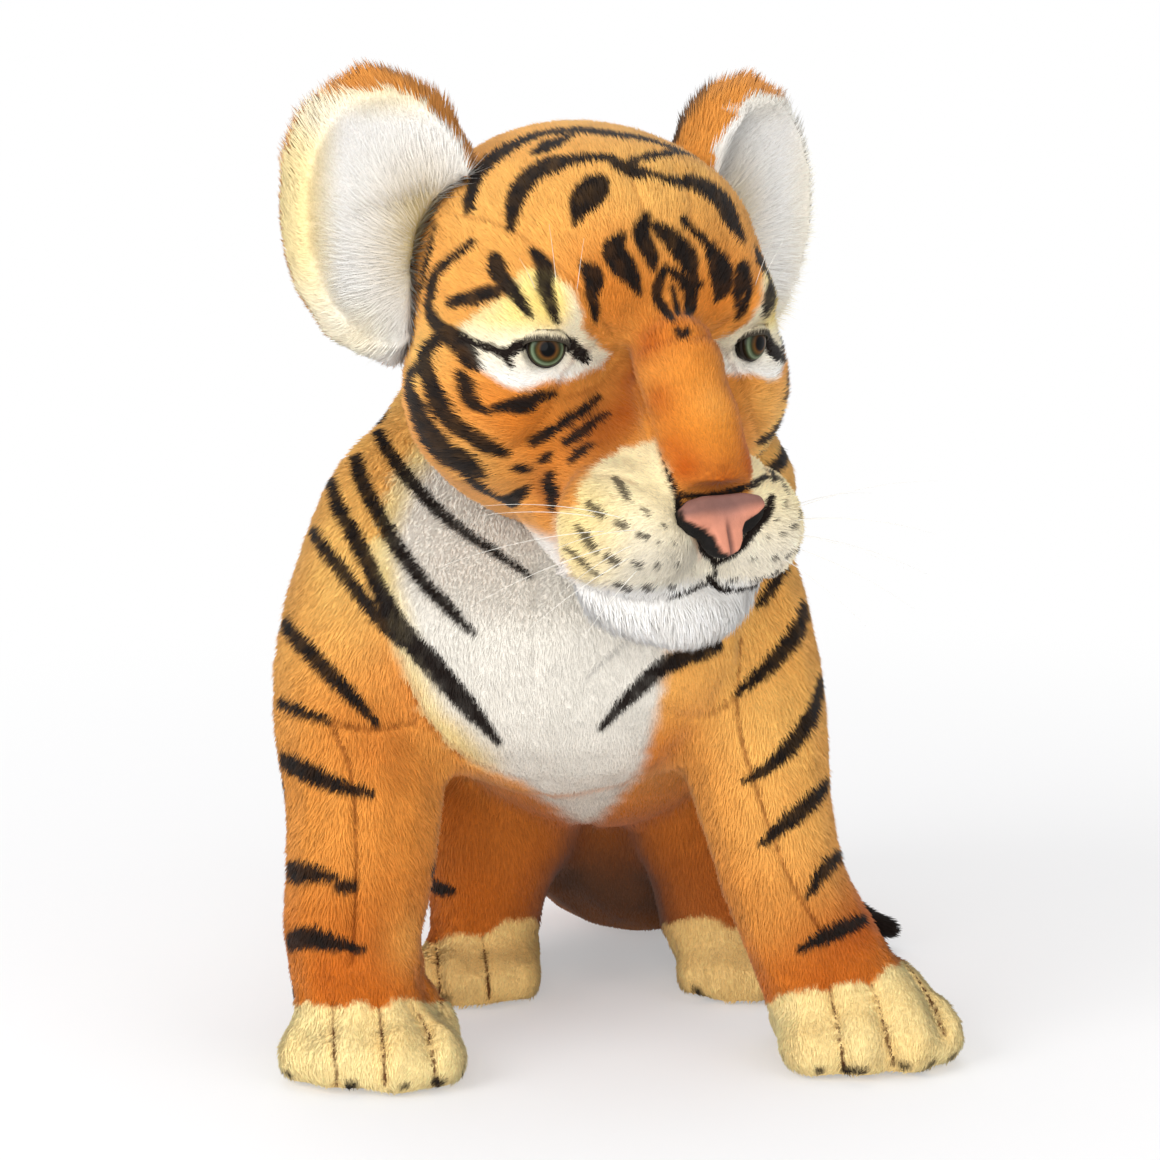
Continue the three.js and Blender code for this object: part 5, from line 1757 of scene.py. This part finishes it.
# The tail's middle line, in mm
TAIL_MARKS = [
    (0, 58, 44), (10, 67, 36), (32, 76, 22), (58, 67, 14), (72, 38, 13), (79, 17, 12), (93, 0, 11),
    (107, -6, 10),
]
TAIL_LINE_STEPS = 12
# Places of the bands and the tip, as shares of the tail's length, and how softly they end
TAIL_BANDS = [0.14, 0.27, 0.4, 0.52, 0.64]
BAND_EDGE = (0.034, 0.022)
TAIL_TIP_EDGE = (0.75, 0.77)
TAIL_LENGTHS = (0.7, 1.05)
TAIL_WIDTHS = (0.75, 1.2)
TAIL_TONES = (0.85, 1.1)


class PLUSHTIGER_OT_tail(Operator):
    """Make the tail with its black bands and tip"""

    bl_idname = "plush_tiger.tail"
    bl_label = "Tail"

    def execute(self, context):
        settings = context.scene.plush_pile
        random = np.random.default_rng(TAIL_SEED)
        nodes = ("tail", "tail_tip")
        mesh = remeshed(node_copy(nodes, SEAM_LAP), "tail_skin", *TAIL_SKIN)
        owners = nearest_nodes(places_of(mesh), nodes)
        places = inset_skin(mesh, np.full(len(owners), TAIL_INSET))
        above_floor(places)
        set_places(mesh, places)
        line = smooth_line(TAIL_MARKS, TAIL_LINE_STEPS) * MM
        paint(mesh, self.colours(places, line))
        backing = backing_material("tail_backing")
        skin = mesh_object("tail_skin", mesh, backing, "swinging_tail")
        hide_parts(*nodes)
        pile = scatter(mesh, owners, settings.strands_per_square_mm, random)
        pile.size(settings, random, TAIL_LENGTHS, TAIL_WIDTHS)
        index, _ = self.nearest(pile.roots, line)
        comb(pile, unit(np.gradient(line, axis=0)[index]), settings.pile_lean, random)
        pile.keep = ~pile.lies_under(TAIL_UNDER)
        tone = random.uniform(*TAIL_TONES, len(index))
        pile.colours = self.colours(seen_places(pile), line) * tone[:, None]
        grow("tail_pile", pile, pile_material("tail_pile"), "swinging_tail", "striped_fur", random)
        return {"FINISHED"}

    def nearest(self, points, line):
        """For each point, the nearest of the line's points, and the share of the line up to there."""
        index = np.linalg.norm(points[:, None] - line[None], axis=2).argmin(1)
        lengths = np.concatenate([[0], np.cumsum(np.linalg.norm(np.diff(line, axis=0), axis=1))])
        return index, lengths[index] / lengths[-1]

    def colours(self, points, line):
        """Orange with black bands and a black tip."""
        _, share = self.nearest(points, line)
        share = share + noise_sum(points, BAND_WANDER)
        colours = plain_colour(ORANGE, points)
        for band in TAIL_BANDS:
            colours = mixed(colours, BLACK, smooth_step(*BAND_EDGE, np.abs(share - band)))
        return mixed(colours, BLACK, smooth_step(*TAIL_TIP_EDGE, share))


# Eyes, nose and whiskers


EYE_RADIUS = 6.5 * MM
EYE_DOME = 4.0 * MM
EYE_BACK = 3.0 * MM
EYE_STEPS = 48
DOME_POINTS = 28
RIM_WIDTH = 0.34 * MM
RIM_HEIGHT = RIM_WIDTH * 1.5
RIM_POINTS = 13
RIM_COLOUR = tint(30, 20, 14)
# The lid: its size and form over the dome, and its strands on a square millimetre
LID_GAP = 0.7 * MM
LID_REACH = 8.4 * MM
LID_OPEN = 0.36
LID_SLANT = 0.04
LID_SINK = 0.3 * MM
LID_THICKNESS = 0.5 * MM
LID_STEPS = (28, 10)
LID_STRANDS = 9.0
LID_EDGE = (0.25, 0.08)
LID_BLACKNESS = 0.95
LID_LENGTHS = (0.35, 0.6)
LID_WIDTHS = (0.4, 0.6)
LID_TONES = (0.9, 1.08)
LID_WAY = np.array([0.0, 1.0, 0.3])
LID_LEAN = 0.35
# The lid's shadow on the upper part of the dome
SHADOW_EDGE = (-0.3, 0.6)
SHADOW_DEPTH = 0.62
# The iris: colours at shares of the dome's radius
IRIS_RINGS = [
    (0.0, tint(2, 2, 3)), (0.37, tint(2, 2, 3)), (0.41, tint(58, 34, 10)), (0.5, tint(92, 60, 22)),
    (0.6, tint(70, 54, 24)), (0.68, tint(46, 50, 28)), (0.76, tint(86, 100, 74)), (0.83, tint(112, 126, 100)),
    (0.88, tint(62, 72, 50)), (0.94, tint(44, 36, 24)), (1.0, tint(20, 15, 10)),
]


def eye_matrix(side):
    """The frame of an eye, with +Z the way it looks."""
    place = Matrix.Translation((side * EYE_PLACE.x, EYE_PLACE.y, EYE_PLACE.z))
    turn = Matrix.Rotation(side * EYE_TURN, 4, "Z") @ Matrix.Rotation(math.radians(90), 4, "X")
    return HEAD @ place @ turn


def spun(name, profile, matrix):
    """A closed form turned round +Z from a profile."""
    bm = bmesh.new()
    verts = [bm.verts.new(point) for point in profile]
    edges = [bm.edges.new(pair) for pair in zip(verts, verts[1:])]
    geom = verts + edges
    turn = {"cent": (0, 0, 0), "axis": (0, 0, 1), "angle": math.tau}
    bmesh.ops.spin(bm, geom=geom, steps=EYE_STEPS, use_merge=True, **turn)
    bmesh.ops.remove_doubles(bm, verts=bm.verts, dist=WELD)
    bmesh.ops.transform(bm, matrix=matrix, verts=bm.verts)
    bmesh.ops.recalc_face_normals(bm, faces=bm.faces)
    mesh = mesh_from(bm, name)
    mesh.shade_smooth()
    return mesh


def lid_line(across):
    """The top of the lid's round and its lower edge, at places across the eye."""
    top = np.sqrt(np.maximum(LID_REACH**2 - across**2, 0))
    return top, LID_OPEN * top - LID_SLANT * across


def lid_places(across, up):
    """Where the lid lies over the dome, for shares from -1 to 1 across it and from 0 to 1 up it."""
    x = across * LID_REACH
    top, low = lid_line(x)
    y = low + (np.maximum(top, low) - low) * up
    rise = np.sqrt(np.clip(1 - (x**2 + y**2) / LID_REACH**2, 0, 1))
    return np.stack([x, y, (EYE_DOME + LID_GAP) * rise - LID_SINK], 1)


class PLUSHTIGER_OT_eyes(Operator):
    """Make the domed eyes, their dark rims and their lids"""

    bl_idname = "plush_tiger.eyes"
    bl_label = "Eyes"

    def execute(self, context):
        glass = eye_material()
        rim_material = cast_material("eye_rim", RIM_COLOUR, 0.85, 0.0, 900, 0.1 * MM)
        backing = backing_material("lid_backing")
        lid_pile = pile_material("lid_pile")
        for name, side in SIDES.items():
            matrix = eye_matrix(side)
            self.dome(name, matrix, glass)
            self.rim(name, matrix, rim_material)
            pile, random = self.lid(name, side, matrix, backing, context.scene.plush_pile)
            grow(f"lid_pile_{name}", pile, lid_pile, "turning_head", "white_fur", random)
        return {"FINISHED"}

    def dome(self, name, matrix, material):
        """The dome with its printed iris, and the lid's shadow painted on its upper part."""
        angles = np.linspace(0, math.pi / 2, DOME_POINTS)
        profile = [(EYE_RADIUS * math.sin(angle), 0, EYE_DOME * math.cos(angle)) for angle in angles]
        profile += [(EYE_RADIUS, 0, -EYE_BACK), (0, 0, -EYE_BACK)]
        mesh = spun(f"eye_dome_{name}", profile, matrix)
        local = moved_by(matrix.inverted(), places_of(mesh))
        radius = np.hypot(local[:, 0], local[:, 1]) / EYE_RADIUS
        shares, tones = zip(*IRIS_RINGS)
        colours = np.stack([np.interp(radius, shares, tone) for tone in np.array(tones).T], 1)
        colours *= (1 - SHADOW_DEPTH * smooth_step(*SHADOW_EDGE, local[:, 1] / EYE_RADIUS))[:, None]
        paint(mesh, colours)
        eye = mesh_object(f"eye_dome_{name}", mesh, material, "turning_head")
        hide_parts(f"eye_{name}")

    def rim(self, name, matrix, material):
        """The dark ring round the dome."""
        profile = [
            (EYE_RADIUS + RIM_WIDTH * math.cos(angle), 0, RIM_HEIGHT * math.sin(angle))
            for angle in np.linspace(0, math.tau, RIM_POINTS)
        ]
        mesh = spun(f"eye_rim_{name}", profile, matrix)
        mesh_object(f"eye_rim_{name}", mesh, material, "turning_head")

    def lid(self, name, side, matrix, backing, settings):
        """The lid, a strip of cloth over the dome. Gives its pile and random numbers."""
        random = np.random.default_rng(LID_SEED + side)
        bm = bmesh.new()
        bmesh.ops.create_grid(bm, x_segments=LID_STEPS[0], y_segments=LID_STEPS[1], size=1)
        shares = np.array([vert.co[:] for vert in bm.verts])
        for vert, place in zip(bm.verts, lid_places(shares[:, 0], shares[:, 1] / 2 + 0.5)):
            vert.co = place
        bmesh.ops.remove_doubles(bm, verts=bm.verts, dist=LID_WELD)
        bm.normal_update()
        if sum(face.normal.z * face.calc_area() for face in bm.faces) < 0:
            bmesh.ops.reverse_faces(bm, faces=bm.faces)
        bmesh.ops.transform(bm, matrix=matrix, verts=bm.verts)
        bm.normal_update()
        mesh = bpy.data.meshes.new(f"eye_lid_{name}")
        bm.to_mesh(mesh)
        pile = scatter(mesh, np.zeros(len(mesh.vertices), int), LID_STRANDS, random)
        bmesh.ops.solidify(bm, geom=bm.faces, thickness=LID_THICKNESS)
        bmesh.ops.recalc_face_normals(bm, faces=bm.faces)
        bm.to_mesh(mesh)
        bm.free()
        mesh.shade_smooth()
        paint(mesh, self.lid_colours(places_of(mesh), matrix))
        mesh_object(f"eye_lid_{name}", mesh, backing, "turning_head")
        pile.size(settings, random, LID_LENGTHS, LID_WIDTHS)
        comb(pile, turned_by(matrix, plain_colour(LID_WAY, pile.roots)), LID_LEAN, random)
        tone = random.uniform(*LID_TONES, len(pile.roots))
        pile.colours = self.lid_colours(pile.roots, matrix) * tone[:, None]
        return pile, random

    def lid_colours(self, points, matrix):
        """Ivory, with a black lower edge and black corners."""
        across, height, _ = moved_by(matrix.inverted(), points).T
        _, low = lid_line(across)
        up = (height - low) / (LID_REACH * (1 - LID_OPEN))
        corner = smooth_step(0.8, 0.95, np.abs(across) / LID_REACH) * smooth_step(0.8, 0.3, up)
        dark = np.maximum(smooth_step(*LID_EDGE, up), corner)
        return mixed(plain_colour(IVORY, points), BLACK, dark * LID_BLACKNESS)


NOSE_PLACE = Vector((0, -92, -71)) * MM
NOSE_LEAN = math.radians(12)
NOSE_ROLL = math.radians(6)
NOSE_TOP_SHARE = 0.74
# The pink part of the nose: its half width at each height of the nose, in mm
NOSE_PINK = [
    (-11.6, 0.6), (-10.4, 3.6), (-7.5, 5.2), (-4, 6.0), (-1.6, 8.0), (0.4, 12.5), (2.6, 16.2), (7, 16.4),
    (9, 14),
]
NOSE_SIDE_DROP = 2.2 * MM
# Forms on each side of the nose: place, reach and height in mm
NOSTRIL = ((10, -3, 6), (3.4, 2.6, 8), -2.6)
NOSE_WING = ((11, 4, 7), (5, 4, 8), 1.2)
GROOVE_WIDTH = 0.9 * MM
GROOVE_DEPTH = 1.5 * MM


class PLUSHTIGER_OT_nose(Operator):
    """Make the pink nose with its nostrils and dark edge"""

    bl_idname = "plush_tiger.nose"
    bl_label = "Nose"

    def execute(self, context):
        upright = Matrix.Rotation(math.radians(90) - NOSE_LEAN, 4, "X")
        matrix = HEAD @ Matrix.Translation(NOSE_PLACE) @ upright @ Matrix.Rotation(NOSE_ROLL, 4, "Z")
        mesh = remeshed(node_copy(("nose",)), "nose_form", *NOSE_SKIN)
        local = moved_by(matrix.inverted(), places_of(mesh))
        across, height, depth = local.T
        height *= np.where(height > 0, NOSE_TOP_SHARE, 1)
        front = mm_step(0, 3, depth)
        heights, halves = np.array(NOSE_PINK).T * MM
        outside = np.abs(across) - np.interp(height, heights, halves)
        depth -= mm_step(-1.2, 1.4, outside) * NOSE_SIDE_DROP * front
        for side in SIDES.values():
            for (x, y, z), reach, rise in (NOSTRIL, NOSE_WING):
                depth += blob(local, (x * side, y, z), reach) * rise * MM * front
        groove = np.exp(-((across / GROOVE_WIDTH) ** 2)) * mm_step(3, -4, height)
        depth -= groove * GROOVE_DEPTH * front
        set_places(mesh, moved_by(matrix, local))
        paint(mesh, self.colours(local, outside, groove))
        nose = mesh_object("nose_form", mesh, nose_material(), "turning_head")
        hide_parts("nose")
        return {"FINISHED"}

    def colours(self, local, outside, groove):
        """Pink with mauve painted shade at the top, under the pile that hangs over it, and in the groove, and
        black past the pink part's edge.
        """
        colours = plain_colour(PINK, local)
        # Painted shade: mauve over the top of the nose and darker in its groove
        colours = mixed(colours, NOSE_SHADE_MAUVE, blob(local, (1, 5, 7), (7, 5, 20)) * 0.75)
        colours = mixed(colours, NOSE_SHADE_MAUVE * 0.6, groove * 0.9)
        colours = mixed(colours, NOSE_SHADE_MAUVE * 0.7, mm_step(1.2, 5.6, local[:, 1]) * 0.9)
        edge = mm_step(-0.7, 0.5, outside + noise_sum(local, NOSE_EDGE_WANDER))
        side_wall = mm_step(4, 3, local[:, 2])
        return mixed(colours, BLACK * 0.25, np.maximum(edge, side_wall))


# Root in the head's frame, way and length in mm, for the tiger's left side
WHISKERS = [
    ((36, -88, -68), (0.95, -0.05, 0.28), 62),
    ((38, -84, -73), (1, 0.05, 0.02), 66),
    ((37, -86, -78), (0.98, -0.02, -0.14), 60),
    ((34, -90, -82), (0.92, -0.15, -0.3), 52),
    ((31, -92, -72), (0.9, -0.3, 0.1), 48),
    ((32, -91, -77), (0.85, -0.35, -0.12), 44),
    ((39, -80, -69), (0.95, 0.25, 0.2), 46),
    ((30, -90, -86), (0.8, -0.25, -0.5), 38),
]
BROW_WHISKERS = [
    ((36, -56, 6), (0.1, -0.35, 1), 26),
    ((42, -52, 8), (0.3, -0.3, 1), 30),
    ((47, -48, 4), (0.55, -0.25, 0.9), 22),
]
WHISKER_SAG = 0.16
WHISKER_POINTS = 9
WHISKER_DEPTH = 3 * MM
WHISKER_TAPER = 0.75
WHISKER_COLOUR = tint(240, 236, 226)
BROW_WHISKER_SHARE = 0.7


def hairs(name, rows, side, material, radius):
    """Thin tapered hairs on one side of the head that curve down as they go out."""
    curve = bpy.data.curves.new(name, "CURVE")
    curve.dimensions = "3D"
    curve.bevel_depth = radius
    curve.bevel_resolution = 1
    curve.use_fill_caps = True
    for (x, y, z), (way_x, way_y, way_z), length in rows:
        spline = curve.splines.new("NURBS")
        spline.points.add(WHISKER_POINTS - 1)
        spline.use_endpoint_u = True
        spline.order_u = 3
        start = Vector((x * side, y, z)) * MM
        outward = Vector((way_x * side, way_y, way_z)).normalized()
        for i, point in enumerate(spline.points):
            share = i / (WHISKER_POINTS - 1)
            spot = start + outward * (length * MM * share - WHISKER_DEPTH)
            spot.z -= WHISKER_SAG * length * MM * share**2
            point.co = (*(HEAD @ spot), 1)
            point.radius = 1 - WHISKER_TAPER * share
    mesh = evaluated_mesh(linked_object(name, curve))
    mesh.name = name
    mesh.shade_smooth()
    mesh.materials.clear()
    return mesh_object(name, mesh, material, "turning_head")


class PLUSHTIGER_OT_whiskers(Operator):
    """Make the whiskers of the muzzle and brows"""

    bl_idname = "plush_tiger.whiskers"
    bl_label = "Whiskers"

    def execute(self, context):
        radius = context.scene.plush_face.whisker_radius
        nylon = cast_material("whisker_nylon", WHISKER_COLOUR, 0.3, 0.0, 300, 0.02 * MM)
        for name, side in SIDES.items():
            piece = hairs(f"whiskers_{name}", WHISKERS, side, nylon, radius)
            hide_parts(*(f"whisker_{name}_{i}" for i in range(1, 5)))
            hairs(f"brow_whiskers_{name}", BROW_WHISKERS, side, nylon, radius * BROW_WHISKER_SHARE)
        return {"FINISHED"}


class PLUSHTIGER_OT_inner_parts(Operator):
    """Give the joint, washers, wires and pellet bag their finish"""

    bl_idname = "plush_tiger.inner_parts"
    bl_label = "Inner Parts"

    def execute(self, context):
        plastic = cast_material("joint_plastic", tint(226, 221, 208), 0.45, 0.0, 400, 0.05 * MM)
        steel = cast_material("washer_steel", tint(170, 172, 176), 0.3, 1.0, 1200, 0.03 * MM)
        finishes = {
            plastic: (
                "neck_head_disc", "neck_body_disc", "nose_washer", "eye_washer_right", "eye_washer_left",
            ),
            steel: ("neck_washer", "neck_lock_ring", "front_leg_wire", "tail_wire"),
            cotton_material(): ("pellet_bag",),
        }
        for material, names in finishes.items():
            for name in names:
                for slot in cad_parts[name].material_slots:
                    slot.link = "OBJECT"
                    slot.material = material
        return {"FINISHED"}


# Stage


# Lamps: place and size
LAMPS = {
    "key": ((-0.95, -1.5, 0.95), 1.3),
    "front": ((0.45, -1.85, 0.5), 1.2),
    "fill": ((1.35, -0.75, 0.75), 1.5),
    "top": ((0.0, 0.2, 1.7), 1.4),
    "back": ((-0.9, 1.3, 0.9), 1.2),
}
FLOOR_CORNERS = 96


class PLUSHTIGER_OT_stage(Operator):
    """Make the floor, the lamps, the world and the camera"""

    bl_idname = "plush_tiger.stage"
    bl_label = "Stage"

    def execute(self, context):
        settings = context.scene.plush_stage
        self.floor(settings)
        self.world(context.scene, settings)
        for name, (place, size) in LAMPS.items():
            light = bpy.data.lights.new(name, "AREA")
            light.shape = "DISK"
            light.size = size
            light.energy = getattr(settings, f"{name}_power")
            lamp = linked_object(name, light)
            lamp.location = place
            lamp.rotation_euler = (CAMERA_TARGET - Vector(place)).to_track_quat("-Z", "Y").to_euler()
        camera = bpy.data.cameras.new("camera")
        camera.sensor_width = SENSOR_WIDTH
        camera.lens = PHOTO_FOCAL / PHOTO_SIDE * SENSOR_WIDTH
        eye = linked_object("camera", camera)
        eye.matrix_world = VIEW.matrix()
        context.scene.camera = eye
        context.scene.view_settings.view_transform = "Standard"
        return {"FINISHED"}

    def floor(self, settings):
        """A wide disc that keeps the tiger's shadow and turns plain white further out."""
        bm = bmesh.new()
        bmesh.ops.create_circle(bm, cap_ends=True, segments=FLOOR_CORNERS, radius=settings.floor_radius)
        mesh = mesh_from(bm, "floor")
        shader = material_shader("floor_white")
        matt = shader.node("ShaderNodeBsdfDiffuse", None, {"Color": solid_colour(settings.floor_colour)})
        glow = shader.node("ShaderNodeEmission", None, {"Color": PLAIN_WHITE})
        operation = {"operation": "LENGTH"}
        inputs = {
            "Value": shader.node("ShaderNodeVectorMath", operation, {0: shader.places()}, "Value"),
            "From Min": settings.floor_near,
            "From Max": settings.floor_far,
            "To Min": settings.floor_glow,
            "To Max": 1,
        }
        fade = shader.node("ShaderNodeMapRange", {"interpolation_type": "SMOOTHSTEP"}, inputs)
        mesh.materials.append(shader.ended(shader.shaders_mixed(shader.seen_directly() * fade, matt, glow)))
        floor = linked_object("floor", mesh)

    def world(self, scene, settings):
        """Even light from all round, and plain white where the camera sees it."""
        scene.world = bpy.data.worlds.new("studio")
        shader = Shader(scene.world)
        light, white = (
            shader.node("ShaderNodeBackground", None, {"Color": PLAIN_WHITE, "Strength": strength})
            for strength in (settings.world_strength, 1)
        )
        shader.ended(shader.shaders_mixed(shader.seen_directly(), light, white), "ShaderNodeOutputWorld")


class PlushPileSettings(PropertyGroup):
    pile_length: FloatProperty(
        name="Pile length", description="Length of a strand on the body", default=4.0 * MM, unit="LENGTH"
    )
    pile_width: FloatProperty(
        name="Pile width", description="Width of a strand at its root", default=0.66 * MM, unit="LENGTH"
    )
    pile_lean: FloatProperty(
        name="Pile lean", description="Angle between a strand and the skin", default=0.4, subtype="ANGLE"
    )
    strands_per_square_mm: FloatProperty(
        name="Strands", description="Strands on a square millimetre of the body", default=1.2
    )
    head_density_share: FloatProperty(
        name="Head density", description="Strands on the head as a share of the body's", default=1.5
    )


class PlushFaceSettings(PropertyGroup):
    whisker_radius: FloatProperty(
        name="Whisker radius", description="Radius of a whisker at its root", default=0.14 * MM, unit="LENGTH"
    )


class PlushStageSettings(PropertyGroup):
    floor_radius: FloatProperty(name="Floor radius", description="Its radius", default=6.0, unit="LENGTH")
    floor_colour: FloatVectorProperty(
        name="Floor colour", description="Colour of the floor", default=(0.86, 0.86, 0.87), subtype="COLOR"
    )
    floor_glow: FloatProperty(name="Floor glow", description="Share of white under the tiger", default=0.35)
    floor_near: FloatProperty(
        name="Floor near", description="Where the floor starts to turn white", default=0.15, unit="LENGTH"
    )
    floor_far: FloatProperty(
        name="Floor far", description="Where the floor has turned white", default=0.75, unit="LENGTH"
    )
    world_strength: FloatProperty(name="World", description="Strength of the even light", default=0.6)
    key_power: FloatProperty(name="Key", description="Power of the main lamp", default=20.0, unit="POWER")
    front_power: FloatProperty(name="Front", description="Power of the low lamp", default=11.0, unit="POWER")
    fill_power: FloatProperty(name="Fill", description="Power of the right lamp", default=6.0, unit="POWER")
    top_power: FloatProperty(name="Top", description="Power of the upper lamp", default=5.0, unit="POWER")
    back_power: FloatProperty(name="Back", description="Power of the rear lamp", default=5.0, unit="POWER")


class PLUSHTIGER_PT_panel(Panel):
    """The tiger's pieces and sizes"""

    bl_idname = "PLUSHTIGER_PT_panel"
    bl_label = "Plush Tiger"
    bl_space_type = "VIEW_3D"
    bl_region_type = "UI"
    bl_category = "Plush Tiger"

    def draw(self, context):
        for group in (context.scene.plush_pile, context.scene.plush_face, context.scene.plush_stage):
            box = self.layout.box()
            for name in group.__annotations__:
                box.prop(group, name)
        for operator in OPERATORS:
            self.layout.operator(operator.bl_idname)


SETTINGS = (PlushPileSettings, PlushFaceSettings, PlushStageSettings)
OPERATORS = (
    PLUSHTIGER_OT_stage,
    PLUSHTIGER_OT_body,
    PLUSHTIGER_OT_head,
    PLUSHTIGER_OT_ears,
    PLUSHTIGER_OT_tail,
    PLUSHTIGER_OT_eyes,
    PLUSHTIGER_OT_nose,
    PLUSHTIGER_OT_whiskers,
    PLUSHTIGER_OT_inner_parts,
)


def register():
    for part in (*SETTINGS, *OPERATORS, PLUSHTIGER_PT_panel):
        bpy.utils.register_class(part)
    bpy.types.Scene.plush_pile = PointerProperty(type=PlushPileSettings)
    bpy.types.Scene.plush_face = PointerProperty(type=PlushFaceSettings)
    bpy.types.Scene.plush_stage = PointerProperty(type=PlushStageSettings)


def unregister():
    del bpy.types.Scene.plush_stage
    del bpy.types.Scene.plush_face
    del bpy.types.Scene.plush_pile
    for part in reversed((*SETTINGS, *OPERATORS, PLUSHTIGER_PT_panel)):
        bpy.utils.unregister_class(part)


def main():
    register()
    for operator in OPERATORS:
        group, name = operator.bl_idname.split(".")
        getattr(getattr(bpy.ops, group), name)()


if __name__ == "__main__":
    main()
